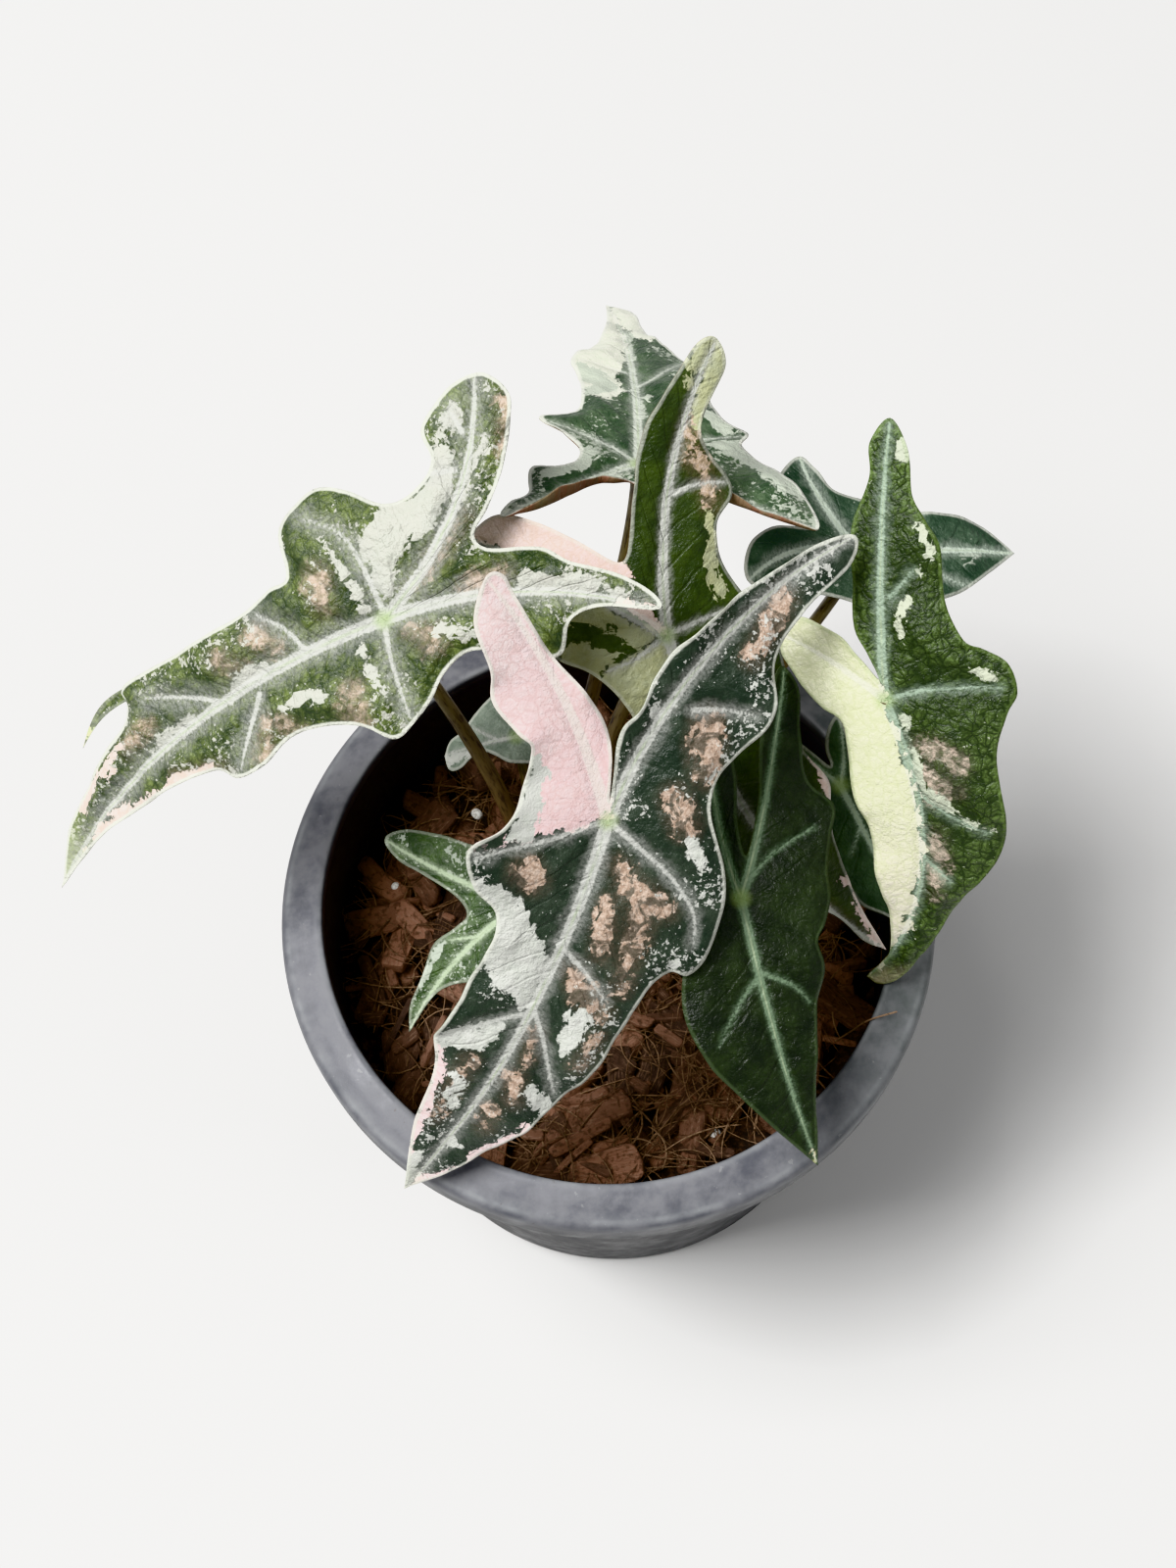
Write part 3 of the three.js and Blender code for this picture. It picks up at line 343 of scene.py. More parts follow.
        "right_outer": [(8, -4), (9, -11)],
        "right_inner": [(2, -9), (5, -15)],
    },
}

# Leaf colours, as linear red, green and blue
PINK = (0.80, 0.61, 0.615)
ROSE_WHITE = (0.70, 0.62, 0.575)
CREAM_YELLOW = (0.64, 0.65, 0.45)
CREAM_WHITE = (0.73, 0.73, 0.62)
SILVER = (0.52, 0.525, 0.485)
SAGE = (0.36, 0.40, 0.33)
TAN = (0.38, 0.265, 0.195)
VEIN_SILVER = (0.46, 0.465, 0.43)
VEIN_GREEN = (0.33, 0.39, 0.25)
HUB_GREEN = (0.25, 0.34, 0.12)
UNDER_RED = (0.20, 0.085, 0.055)
UNDER_GREEN = (0.15, 0.17, 0.09)
TAN_GLINT = (0.54, 0.43, 0.35)
PALE_CLOUD = (0.76, 0.74, 0.67)
BLUSH_LINE = (0.55, 0.40, 0.30)
RIM_WHITE = (0.58, 0.59, 0.52)
SPUR_LIME = (0.42, 0.50, 0.22)
UNDER_VEIN = (0.36, 0.33, 0.2)

# Colours of stalks, crown, pot and mix
STALK_STREAK = (0.030, 0.013, 0.008)
STALK_FLECK = (0.32, 0.29, 0.16)
CORM_DARK = (0.045, 0.022, 0.011)
CORM_FLAKE = (0.24, 0.13, 0.065)
# Painted shade: the dark tone of the pot's walls below the rim, inside and out
POT_WALL_SHADE = (0.034, 0.035, 0.038)
# Painted light: a lighter tint for the rim's right side, for how the light falls there
POT_RIGHT_PAINTED_LIGHT = (0.078, 0.088, 0.084)
# Pale grey clouding of the rim: partly dust, partly painted sheen
POT_DUST_AND_SHEEN = (0.21, 0.21, 0.22)
# Lighter grey of the rim's edges: partly rubbed wear, partly painted highlight
POT_RUBBED_HIGHLIGHT = (0.26, 0.27, 0.275)
POT_MARK = (0.45, 0.45, 0.43)
POT_SOIL = (0.05, 0.032, 0.02)
HUSK_THREAD = (0.37, 0.24, 0.17)
HUSK_PIT = (0.022, 0.012, 0.006)
COIR_DARK = (0.09, 0.045, 0.027)
COIR_LIGHT = (0.40, 0.26, 0.165)
COIR_THREAD = (0.50, 0.35, 0.23)
# The bed's tones are kept dark partly as painted shade in the gaps between the chips
BED_DARK = (0.012, 0.007, 0.004)
BED_LIGHT = (0.095, 0.050, 0.030)
GRAIN_PORE = (0.42, 0.39, 0.34)
GRAIN_WHITE = (0.78, 0.77, 0.73)
SKY = (0.97, 0.98, 1, 1)

# Each leaf's finish: its greens, its pale tones, the width of its main veins, how much the blade
# swells between the side veins, how strong its net of small veins is, how many white flecks it has,
# its large side veins, the halves that are wholly pale, and its patches. Patches are listed by their
# kind and the half of the blade that they keep to, each as a stroke of points (right, forward, half
# width) in millimetres. What a look leaves out is as in the plain one.
PLAIN_LOOK = {
    "blush": CREAM_WHITE, "blush_line": BLUSH_LINE, "silver": SAGE, "tan": TAN, "tan_soft": 0.35,
    "vein": VEIN_SILVER, "under": UNDER_GREEN, "pucker": 0.1, "outer": 0, "rim_tone": RIM_WHITE,
    "pale_halves": [], "patches": {},
}
LOOKS = {
    "left_large": {
        # Its lighter yellow-green between the small veins is partly its own mottling and partly painted
        # highlight on its puckers
        "green": (0.014, 0.028, 0.011), "light": (0.150, 0.190, 0.060), "blush": ROSE_WHITE,
        "silver": (0.44, 0.44, 0.385), "tan": (0.36, 0.28, 0.20),
        "vein_width": 1.3, "bloom": 4.6, "quilt": 1.6, "pucker": 0.35, "tan_soft": 1.5, "net": 0.55,
        "flecks": 1.1, "rim": 0.95, "tip_tone": ((0.47, 0.53, 0.29), 84, 104),
        "laterals": [
            [(2, -1), (12, -2), (20, -1), (26, 4)], [(0, 0), (-10, 3), (-20, 5)],
            [(1, 31), (-4, 37), (-10, 43)], [(3, 38), (9, 46), (14, 55)], [(2, 17), (9, 19), (15, 23)],
            [(18, -28), (20, -23), (21, -19)], [(24, -33), (29, -33)],
        ],
        "patches": {
            ("silver", "right_outer"): [
                [(6, -4, 2), (12, -7, 4.5), (15, -12, 4.5), (14, -18, 4), (17, -24, 3), (22, -28, 2.2)],
                [(26, -29, 1), (28, -34, 1.6)]],
            ("silver", "front_right"): [
                [(3, 1.5, 1), (9, 1, 1.3), (14, 1, 1.6), (18, 2, 1)],
                [(4, 36, 1.4), (5.5, 31, 2.3), (4.5, 28, 1.4)],
                [(4.5, 60, 0.8), (5, 53, 1.3), (4.5, 47, 1.6)]],
            ("silver", "front_left"): [
                [(-4, 27, 0.9), (-5, 22, 1.2), (-6, 18.5, 1.1)],
                [(-14, 6.5, 0.7), (-8, 7.5, 1.1), (-3, 6.5, 0.8)]],
            ("silver", "right_inner"): [[(8, -18, 1.1), (14, -28, 1.5), (20, -36, 1.3)]],
            ("silver", "left_outer"): [[(-8, -9, 1), (-13, -16, 1.6)]],
            ("silver", "left_inner"): [[(-8, -29, 1.6), (-15, -38, 1.5), (-20, -44, 1.4)]],
            ("blush", "front_left"): [
                [(-6, 49, 0.7), (-4.5, 56, 1), (-4, 64, 1.2), (-3.4, 73, 1.9), (-3.4, 82, 1.9),
                 (-4.4, 90, 1.4)]],
            ("blush", "front_right"): [[(9, 67, 0.9), (6.5, 76, 1.2), (4, 86, 1.2)]],
            ("blush", "left_outer"): [[(-24, -44, 2.5), (-27, -49, 3)]],
            ("tan", "right_inner"): [
                [(16, -40, 2), (24, -44, 1.5)], [(3, -9, 1.2), (5, -17, 1.4), (9, -25, 1.2)]],
            ("tan", "front_left"): [
                [(-14, 15, 2.4), (-9, 12, 1.7)], [(-10, 37, 2), (-5, 33, 1.3)],
                [(-11, 28, 2), (-7, 30, 1.2)], [(-8, 47, 1.2), (-4, 57, 1.4)]],
            ("tan", "front_right"): [
                [(11, 34, 2.2), (7, 31, 1.5)], [(11, 25, 2.5), (7, 23, 1.5)], [(14, 7, 2.6), (8, 9, 1.5)],
                [(9, 58, 1.3), (8, 65, 1.5)]],
            ("tan", "left_outer"): [[(-9, -7, 2.4), (-5, -4, 1.2)]],
            ("tan", "left_inner"): [[(-4, -18, 1.4), (-5, -26, 1.6)]],
            ("dark", "front_right"): [[(25, 7, 3.2), (21, 8, 1.6)]],
            ("dark", "right_outer"): [[(27, -1, 1.6), (22, -6, 1.2)]],
        },
    },
    "front_large": {
        "green": (0.017, 0.027, 0.018), "light": (0.050, 0.066, 0.047), "blush": PINK,
        "silver": SILVER, "vein_width": 1.3, "bloom": 2.6, "quilt": 1, "pucker": 0.2, "net": 0.1,
        "flecks": 1.15, "rim": 0.7, "tip_tone": ((0.60, 0.64, 0.48), 93, 106),
        "blush_far": (0.79, 0.665, 0.66), "blush_line": (0.55, 0.33, 0.31),
        "laterals": [
            [(0, 0), (-9, 2), (-18, 4.5), (-26, 9), (-30, 15)], [(0, 0), (10, 9), (18, 15), (22, 18)],
            [(-9, 44), (-14, 49), (-19, 55), (-24, 61)], [(-8, 46), (-3, 51), (2, 57), (5, 60)],
            [(-3, -28), (-9, -31), (-15, -33)], [(-5, 28), (-13, 31), (-21, 35)],
        ],
        "pale_halves": ["right_outer", "right_inner"],
        "patches": {
            ("silver", "front_right"): [
                [(-7, 44, 2.4), (-4, 39, 3.4), (-1, 37, 6), (4, 32, 6), (9, 27, 4.6), (14, 23.5, 3.6),
                 (18, 22.5, 2)], [(-5, 51, 0.8), (-3, 54, 2.6), (1, 58, 2.7), (5, 60.5, 1.6)],
                [(-6.5, 74, 0.9), (-4, 72, 1.6), (-6, 68, 1.6), (-3, 66.5, 1.2)],
                [(-8, 88, 0.8), (-8, 93, 1.2), (-10, 99, 1.5)]],
            ("silver", "front_left"): [
                [(-20, 49, 1.2), (-18.5, 45, 2.1), (-18, 41.5, 2.2)],
                [(-25, 66, 1.5), (-22, 64, 1.9), (-18.5, 62, 1.4)], [(-15, 84, 1.2), (-12.5, 84.5, 1.6)],
                [(-25, 7.5, 1.2), (-24.5, 6.5, 1)], [(-29, 20, 0.9), (-28.5, 18, 0.7)]],
            ("silver", "left_outer"): [[(-22, -1, 1), (-17, -4, 1.2)]],
            ("silver", "left_inner"): [[(3, -24, 1), (5, -24.5, 1.4)]],
            ("silver", "right_outer"): [
                [(15, 12, 2.2), (17, 8, 3.1), (18, 3, 3.3), (20, -2, 2.6), (22, -6, 1.5)]],
            ("blush", "front_right"): [
                [(4, 62, 0.8), (0, 67, 1.8), (-1.5, 75, 1.4), (-5, 88, 1.2), (-9, 99, 1)]],
            ("blush", "front_left"): [[(-24, 71, 1), (-17, 90, 1.3), (-12, 101, 2)]],
            ("tan", "front_left"): [
                [(-6.5, 7, 1.2), (-12, 10, 2.4), (-17, 11, 2.8), (-20.5, 10.5, 1.8)],
                [(-16, 13, 2.6), (-18, 19, 2.2), (-20, 26, 1.5), (-22, 31, 1.2)],
                [(-9, 15, 1.1), (-12, 21, 1.5), (-14, 26, 1.1)],
                [(-22, 38, 1.4), (-16, 35.5, 2.2), (-11, 32, 1.5)], [(-17, 66, 1.2), (-14, 61, 1.8)],
                [(-24, 51, 1.1), (-24, 44, 1.3)], [(-14, 55, 1), (-12, 49, 1.1)],
                [(-16, 76, 1.2), (-14, 71, 1.3)]],
            ("tan", "front_right"): [[(7, 18, 1.8), (11, 16, 2.5)], [(-4, 62, 1.2), (-5, 79, 1.2)]],
            ("tan", "left_outer"): [
                [(-14, -7, 2.4), (-9, -11, 2)], [(-12, -18, 2.2), (-9, -23, 3.2), (-7, -27, 2.6)],
                [(-8, -43, 1.4), (-8, -50, 2), (-8, -56, 1.8)]],
            ("dark", "right_outer"): [
                [(22, 16, 2.6), (20.5, 11, 1.9), (20.5, 5, 1.5), (22, 0, 1.3), (24, -5, 0.9)]],
        },
    },
    "centre_dark": {
        "green": (0.017, 0.031, 0.007), "light": (0.040, 0.066, 0.009), "blush": (0.74, 0.58, 0.545),
        "silver": (0.35, 0.36, 0.20), "tan": (0.40, 0.29, 0.19), "under": UNDER_RED, "vein_width": 1.25,
        "bloom": 1.6, "quilt": 0.7, "pucker": 0.15, "net": 0.1, "flecks": 0.15, "rim": 0.35,
        "laterals": [
            [(-20, -21), (-25, -19), (-30, -15)], [(0, 0), (-8, 3), (-15, 6)], [(0, 0), (8, -1), (14, -3)],
            [(6, 24), (14, 32), (22, 44)], [(6, 22), (-2, 30), (-7, 40)],
        ],
        "pale_halves": ["right_inner"],
        "patches": {
            ("silver", "left_outer"): [
                [(-14, 1, 1), (-16, -4, 1.2), (-20, -9, 1.3), (-23, -12, 1.2)],
                [(-33, -29, 1), (-38, -34, 3), (-42, -36, 4), (-47, -39, 4)]],
            ("silver", "left_inner"): [[(-36, -36, 0.8), (-41, -39, 2.2), (-47, -41, 3)]],
            ("silver", "right_outer"): [
                [(6, -9, 1.6), (9, -15, 2.6), (12, -22, 2.6), (13, -32, 2.4)],
                [(5, -3, 3.5), (11, -6, 4.5), (17, -8, 4)]],
            ("silver", "front_right"): [[(3, 2, 3.5), (9, 1, 5.5), (15, 3, 6), (21, 9, 5)]],
            ("blush", "front_left"): [
                [(-8, 44, 1.6), (-6, 52, 1.4), (-3, 60, 1.2)], [(2, 72, 1.2), (4, 84, 1.2), (5, 96, 1.6)]],
            ("tan", "left_outer"): [[(-25, -14, 1.4), (-28, -20, 1.8), (-28, -26, 2), (-33, -30, 1.8)]],
            ("tan", "front_right"): [
                [(17, 12, 4), (22, 18, 5), (25, 27, 4)], [(9, 68, 3), (7, 78, 2), (6, 92, 1.6)]],
            ("dark", "right_outer"): [
                [(8, -2, 1.2), (10, -7, 1.8), (12, -12, 1.3)], [(14, -19, 1.2), (15, -27, 1.2)]],
        },
    },
    "back_pale": {
        "green": (0.022, 0.046, 0.022), "light": (0.10, 0.145, 0.08), "blush": (0.62, 0.62, 0.53),
        "silver": (0.42, 0.455, 0.375), "tan": (0.30, 0.30, 0.20), "vein": (0.50, 0.53, 0.46),
        "under": UNDER_RED, "vein_width": 1, "bloom": 2, "quilt": 0.9, "pucker": 0.25, "net": 0.2,
        "flecks": 1.35, "rim": 0.95, "blush_line": (0.45, 0.50, 0.38),
        "laterals": [
            [(0, 0), (-9, 9), (-18, 15)], [(0, 0), (12, 8), (23, 11)], [(1, 30), (8, 38), (14, 46)],
            [(1, 40), (-4, 44), (-9, 46)],
        ],
        "patches": {
            ("silver", "front_left"): [[(-9, 43, 1.6), (-7, 37, 3), (-4, 32, 2.4), (-9, 28, 2.2)]],
            ("silver", "front_right"): [
                [(2, 48, 1.4), (3, 57, 1.8), (3, 66, 1.4)], [(2, 18, 1.4), (3, 26, 1.3)],
                [(16, 20, 1.6), (20, 14, 2.2)]],
            ("silver", "right_outer"): [[(16, 7, 1.8), (22, 5, 4), (28, -1, 4), (31, -9, 4)]],
            ("silver", "right_inner"): [[(10, -8, 1.8), (17, -13, 3.4), (26, -18, 4)]],
            ("silver", "left_outer"): [[(-10, 2, 2.4), (-14, -3, 2.4), (-20, -7, 1)]],
            ("silver", "left_inner"): [[(-5, -7, 1.6), (-12, -12, 1.4), (-20, -18, 1)]],
            ("blush", "front_left"): [
                [(-5, 30, 5), (-8, 38, 6.5), (-6, 46, 7), (-4, 56, 6), (-1, 70, 6), (1, 88, 6)]],
            ("blush", "front_right"): [[(7, 60, 2.6), (6, 70, 3.4), (3, 84, 5)]],
            ("blush", "left_outer"): [[(-26, -20, 1.2), (-30, -24, 2)]],
            ("dark", "front_right"): [[(5.5, 58, 1.4), (5, 55, 1)]],
        },
    },
    "right_two_tone": {
        "green": (0.013, 0.024, 0.007), "light": (0.115, 0.170, 0.055), "blush": CREAM_YELLOW,
        "blush_far": (0.645, 0.60, 0.50), "blush_line": (0.43, 0.47, 0.24),
        "silver": (0.48, 0.51, 0.39), "tan": (0.28, 0.25, 0.19), "vein": (0.29, 0.37, 0.28),
        "vein_width": 1, "bloom": 2.2, "quilt": 1.1, "pucker": 0.45,
        "tan_soft": 0.9, "net": 1, "flecks": 0.4, "rim": 0.3, "rim_tone": (0.16, 0.24, 0.07),
        "outer": 0.45, "tip_tone": ((0.50, 0.46, 0.30), 69, 80),
        "laterals": [
            [(0, 0), (-10, -3), (-24, -4)], [(-6, 20), (-12, 25), (-21, 30)], [(-1, -22), (-6, -28)],
            [(-8, 38), (-13, 43)],
        ],
        "pale_halves": ["front_right", "right_outer", "right_inner"],
        "patches": {
            ("silver", "front_left"): [
                [(-22, 29, 0.5), (-17, 27, 0.8), (-12, 23, 0.8), (-9, 20, 0.8)],
                [(-6, 11, 0.9), (-7, 17, 0.9)], [(-4, 4, 0.8), (-5, 8, 0.8)]],
            ("silver", "left_outer"): [
                [(-22, -6, 0.7), (-17, -8.5, 0.5)], [(-4, -13, 0.7), (-3, -17, 0.7), (-5, -21, 0.6)],
                [(-9, -32, 1), (-7, -37, 0.8)], [(-7, -27, 0.9), (-6.5, -28, 0.8)],
                [(-3.5, -50, 0.9), (-3, -54, 1.2)]],
            ("tan", "front_left"): [
                [(-6, 10, 1.4), (-11, 10, 2.3), (-15, 13, 2.2)],
                [(-10, 16, 2.2), (-14, 19, 1.7), (-10, 22, 1.4)],
                [(-10, 31, 1.6), (-10, 38, 2.2), (-9, 46, 1.6)]],
        },
    },
    "back_right": {
        "green": (0.022, 0.044, 0.026), "light": (0.085, 0.130, 0.085), "vein": (0.50, 0.57, 0.48),
        "vein_width": 1.1, "bloom": 2.4, "quilt": 0.5, "net": 0.2, "flecks": 0.5, "rim": 0.6,
        "laterals": [[(0, 8), (-5, 12), (-9, 17)], [(0, 12), (6, 18), (10, 25)]],
        "patches": {("silver", "front_right"): [[(1, 30, 0.8), (3, 24, 1)]]},
    },
    "low_front_dark": {
        "green": (0.005, 0.009, 0.0035), "light": (0.021, 0.033, 0.012), "blush": (0.34, 0.40, 0.11),
        "vein": (0.14, 0.20, 0.125), "vein_width": 0.95, "bloom": 1.3, "quilt": 0.5, "net": 0.15,
        "flecks": 0, "rim": 0.3, "rim_tone": (0.10, 0.14, 0.07),
        "laterals": [
            [(0, 0), (-8, -6), (-20, -9)], [(2, 17), (7, 21), (14, 28)], [(1, 16), (-5, 21), (-8, 26)],
        ],
        "patches": {("blush", "front_right"): [[(-1, 58, 0.5), (-1, 63, 1.5)]]},
    },
    "small_left": {
        "green": (0.018, 0.037, 0.012), "light": (0.085, 0.135, 0.048), "vein": (0.40, 0.48, 0.33),
        "vein_width": 0.7, "bloom": 1.4, "quilt": 0.5, "net": 0.2, "flecks": 1.1, "rim": 0.25,
        "laterals": [[(2, 12), (6, 17)]],
        "patches": {
            ("silver", "front_right"): [[(6, 19, 0.7), (5, 24, 1), (4, 29, 0.8)]],
            ("silver", "front_left"): [[(1, 27, 0.8), (0, 36, 1.4)]],
        },
    },
    "small_back_left": {
        "green": (0.13, 0.165, 0.125), "light": (0.30, 0.35, 0.28), "silver": SILVER,
        "vein_width": 0.6, "bloom": 1.2, "quilt": 0.3, "net": 0.2, "flecks": 0.4, "rim": 0.6,
        "laterals": [[(1, 5), (6, 10)]],
        "patches": {("silver", "front_left"): [[(0, 12, 1.4), (0, 17, 1.8)]]},
    },
    "small_right_dark": {
        "green": (0.018, 0.036, 0.016), "light": (0.06, 0.10, 0.05), "vein": (0.30, 0.38, 0.28),
        "vein_width": 0.7, "bloom": 1.2, "quilt": 0.3, "net": 0.2, "flecks": 0.2, "rim": 0.4,
        "laterals": [[(0, 10), (5, 15)], [(0, 14), (-4, 19)]],
    },
}

# The three arms of a blade, each with the two halves at its sides, the order of the halves along the
# outline, and the lines from the hub that part the halves of one arm from those of the next
ARMS = (
    {"tip": "tip", "bow": "bow", "halves": ("front_left", "front_right")},
    {"tip": "left_tip", "bow": "left_bow", "halves": ("left_inner", "left_outer")},
    {"tip": "right_tip", "bow": "right_bow", "halves": ("right_outer", "right_inner")},
)
OUTLINE_CHAIN = (
    ("front_left", "tip", True), ("left_outer", "waist_left", False), ("left_inner", "left_tip", True),
    ("right_inner", "sinus", False), ("right_outer", "right_tip", True),
    ("front_right", "waist_right", False),
)
HALVES = [half for half, start, backwards in OUTLINE_CHAIN]
HALF_BORDERS = (
    (("front_right", "right_outer"), "waist_right"), (("right_inner", "left_inner"), "sinus"),
    (("left_outer", "front_left"), "waist_left"),
)


# Shapes

def smooth_step(value, low, high):
    """Cubic ease from 0 at low to 1 at high."""
    share = np.clip((value - low) / (high - low), 0, 1)
    return share * share * (3 - 2 * share)


def lattice_noise(places, cell, seed):
    """Smooth noise from -1 to 1: random values on a cubic lattice of that cell, eased between corners."""
    random = np.random.default_rng(seed)
    table = random.uniform(-1, 1, 4096)
    scaled = np.asarray(places, float) / cell
    corner = np.floor(scaled).astype(int)
    share = scaled - corner
    share = share * share * (3 - 2 * share)
    total = 0
    for dx in (0, 1):
        for dy in (0, 1):
            for dz in (0, 1):
                x, y, z = (corner[..., axis] + step for axis, step in enumerate((dx, dy, dz)))
                value = table[(x * 73 + y * 179 + z * 283) % table.size]
                weight = np.abs(1 - dx - share[..., 0]) * np.abs(1 - dy - share[..., 1])
                total = total + value * weight * np.abs(1 - dz - share[..., 2])
    return total


def full_turn(steps):
    """Even angles around a circle."""
    return 2 * np.pi * np.arange(steps) / steps


def around_axis(radius, turn, height=0.0):
    """Points at a radius, turn and height about the vertical axis."""
    x, y = radius * np.cos(turn), radius * np.sin(turn)
    return np.stack([x, y, height + 0 * x], axis=-1)


def way_along(line):
    """How far along a line of points each of them lies."""
    return np.concatenate([[0], np.cumsum(np.linalg.norm(np.diff(line, axis=0), axis=1))])


def smooth_line(points, steps):
    """Catmull-Rom curve through the points, with that many steps from each point to the next."""
    points = np.asarray(points, float)
    padded = np.vstack([2 * points[0] - points[1], points, 2 * points[-1] - points[-2]])
    t = (np.arange(steps) / steps)[:, None]
    before, start, end, after = (padded[i:len(padded) - 3 + i][:, None, :] for i in range(4))
    linear = (end - before) * t
    square = (2 * before - 5 * start + 4 * end - after) * t ** 2
    cube = (3 * start - 3 * end + after - before) * t ** 3
    curve = 0.5 * (2 * start + linear + square + cube)
    return np.vstack([curve.reshape(-1, points.shape[1]), points[-1]])


def grid_faces(columns, rows, closed_columns=False):
    """Quads of a grid whose point at (column, row) has the number column * rows + row."""
    last = columns if closed_columns else columns - 1
    column = np.arange(last)[:, None]
    row = np.arange(rows - 1)[None, :]
    following = (column + 1) % columns
    corners = (column * rows + row, following * rows + row, following * rows + row + 1,
               column * rows + row + 1)
    return np.stack(corners, axis=-1).reshape(-1, 4)


def merged(keys, faces):
    """Joins points whose keys agree to a thousandth. Gives the kept points and the faces on them."""
    rounded = np.round(np.asarray(keys, float), 3) + 0.0
    _, kept, place = np.unique(rounded, axis=0, return_index=True, return_inverse=True)
    return kept, place.reshape(-1)[faces]


def triangles(faces):
    """Splits quads in two and drops the triangles with two like corners."""
    faces = np.asarray(faces)
    split = np.vstack([faces[:, [0, 1, 2]], faces[:, [0, 2, 3]]])
    first, second, third = split.T
    return split[(first != second) & (second != third) & (third != first)]


def two_sided(faces, start, end, count):
    """Faces of a sheet of count points, of its copy behind it, and of strips between their edges, which
    run from start to end."""
    strips = np.stack([start, end, end + count, start + count], axis=1)
    return np.vstack([faces, faces[:, ::-1] + count, strips])


def make_piece(name, shape, material, slot, *replaces):
    """A mesh object that rides on the body, from a shape's points in millimetres, its faces, and its
    fields as attributes."""
    places, faces, fields = shape
    mesh = bpy.data.meshes.new(name)
    mesh.from_pydata((np.asarray(places) * MM).tolist(), [], triangles(faces).tolist())
    for key, values in fields.items():
        values = np.asarray(values, np.float32)
        kind = "FLOAT" if values.ndim == 1 else "FLOAT_VECTOR"
        attribute = mesh.attributes.new(key, kind, "POINT")
        attribute.data.foreach_set("value" if kind == "FLOAT" else "vector", values.ravel())
    mesh.shade_smooth()
    mesh.materials.append(material)
    if mesh.validate():
        raise RuntimeError(f"{name} has faulty faces")
    piece = bpy.data.objects.new(name, mesh)
    bpy.context.scene.collection.objects.link(piece)
    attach(piece, BODY)
    if replaces:
        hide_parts(*replaces)
    return piece


def tube(path, radii, sides, ridges=0, ridge=0):
    """A round section carried along a path without twisting, closed at both ends on the path itself.
    The radius rises and falls by the ridge share that many times around. Gives points, faces, and for
    each point its turn and the length of path up to it."""
    path = np.asarray(path, float)
    tangent = np.gradient(path, axis=0)
    tangent /= np.linalg.norm(tangent, axis=1, keepdims=True)
    sideways = np.cross(tangent[0], np.eye(3)[np.argmin(np.abs(tangent[0]))])
    across = np.empty_like(path)
    for step, direction in enumerate(tangent):
        sideways = sideways - sideways @ direction * direction
        sideways = sideways / np.linalg.norm(sideways)
        across[step] = sideways
    other = np.cross(tangent, across)
    turn = full_turn(sides)
    reach = np.asarray(radii, float)[:, None] * (1 + ridge * np.cos(ridges * turn))
    reach = np.vstack([0 * turn, reach, 0 * turn])[..., None]
    order = np.concatenate([[0], np.arange(len(path)), [len(path) - 1]])
    ring = np.cos(turn)[None, :, None] * across[order][:, None]
    ring = ring + np.sin(turn)[None, :, None] * other[order][:, None]
    places = (path[order][:, None] + reach * ring).reshape(-1, 3)
    travelled = way_along(path)[order]
    rounds = len(order)
    faces = grid_faces(rounds, sides)
    seam = np.arange(rounds - 1) * sides
    closing = np.stack([seam + sides - 1, seam + 2 * sides - 1, seam + sides, seam], axis=1)
    kept, faces = merged(places, np.vstack([faces, closing])[:, ::-1])
    along = np.column_stack([np.tile(turn, rounds), np.repeat(travelled, sides)])
    return places[kept], faces, along[kept]


def lathe(profile, sides):
    """A profile of (radius, height) points turned about the vertical axis."""
    profile = np.asarray(profile, float)
    places = around_axis(profile[:, 0], full_turn(sides)[:, None], profile[:, 1])
    return places.reshape(-1, 3), grid_faces(sides, len(profile), closed_columns=True)


# Blades

def leaf_axes(leaf):
    """Right, forward and up directions of a blade at its hub, from heading, slope and roll."""
    heading, slope, roll = (math.radians(leaf[key]) for key in ("heading", "slope", "roll"))
    forward = np.array([math.cos(heading) * math.cos(slope), math.sin(heading) * math.cos(slope),
                        -math.sin(slope)])
    flat_right = np.array([math.sin(heading), -math.cos(heading), 0.0])
    flat_up = np.cross(flat_right, forward)
    right = flat_right * math.cos(roll) - flat_up * math.sin(roll)
    up = flat_right * math.sin(roll) + flat_up * math.cos(roll)
    return right, forward, up


def blade_places(leaf, u, v, h):
    """Where a point u right, v forward and h above the flat blade lies. The front droops along an arc,
    each back lobe rises along an arc, and each half folds at the midrib and curls down outwards."""
    right, forward, up = leaf_axes(leaf)
    side = np.where(u < 0, 0, 1)
    blend = smooth_step(u, -HUB_BLEND, HUB_BLEND)
    lift = leaf["lift"][0] * (1 - blend) + leaf["lift"][1] * blend
    droop = -math.radians(leaf["droop"]) / leaf["tip"][1]
    bend = np.where(v >= 0, droop, np.radians(lift) / LOBE_BEND_LENGTH)
    bend = np.where(np.abs(bend) < STRAIGHT, STRAIGHT, bend)
    angle = bend * np.abs(v)
    along = np.sign(v) * np.sin(angle) / bend
    rise = (1 - np.cos(angle)) / bend
    lean = np.where(v >= 0, -np.sin(angle), np.sin(angle))
    fold = np.radians(np.array(leaf["fold"], float))[side]
    curl = np.radians(np.array(leaf["curl"], float))[side] / CURL_LENGTH
    crease = np.hypot(u, CREASE)
    across = np.sin(fold) * (crease - CREASE) - curl * u * u / 2
    tilt = np.arctan(np.sin(fold) * u / crease - curl * u)
    lifted = across + h * np.cos(tilt)
    sideways = u * np.cos(fold) - h * np.sin(tilt)
    return (np.array(leaf["hub"], float) + sideways[:, None] * right
            + (along + lifted * lean)[:, None] * forward + (rise + lifted * np.cos(angle))[:, None] * up)


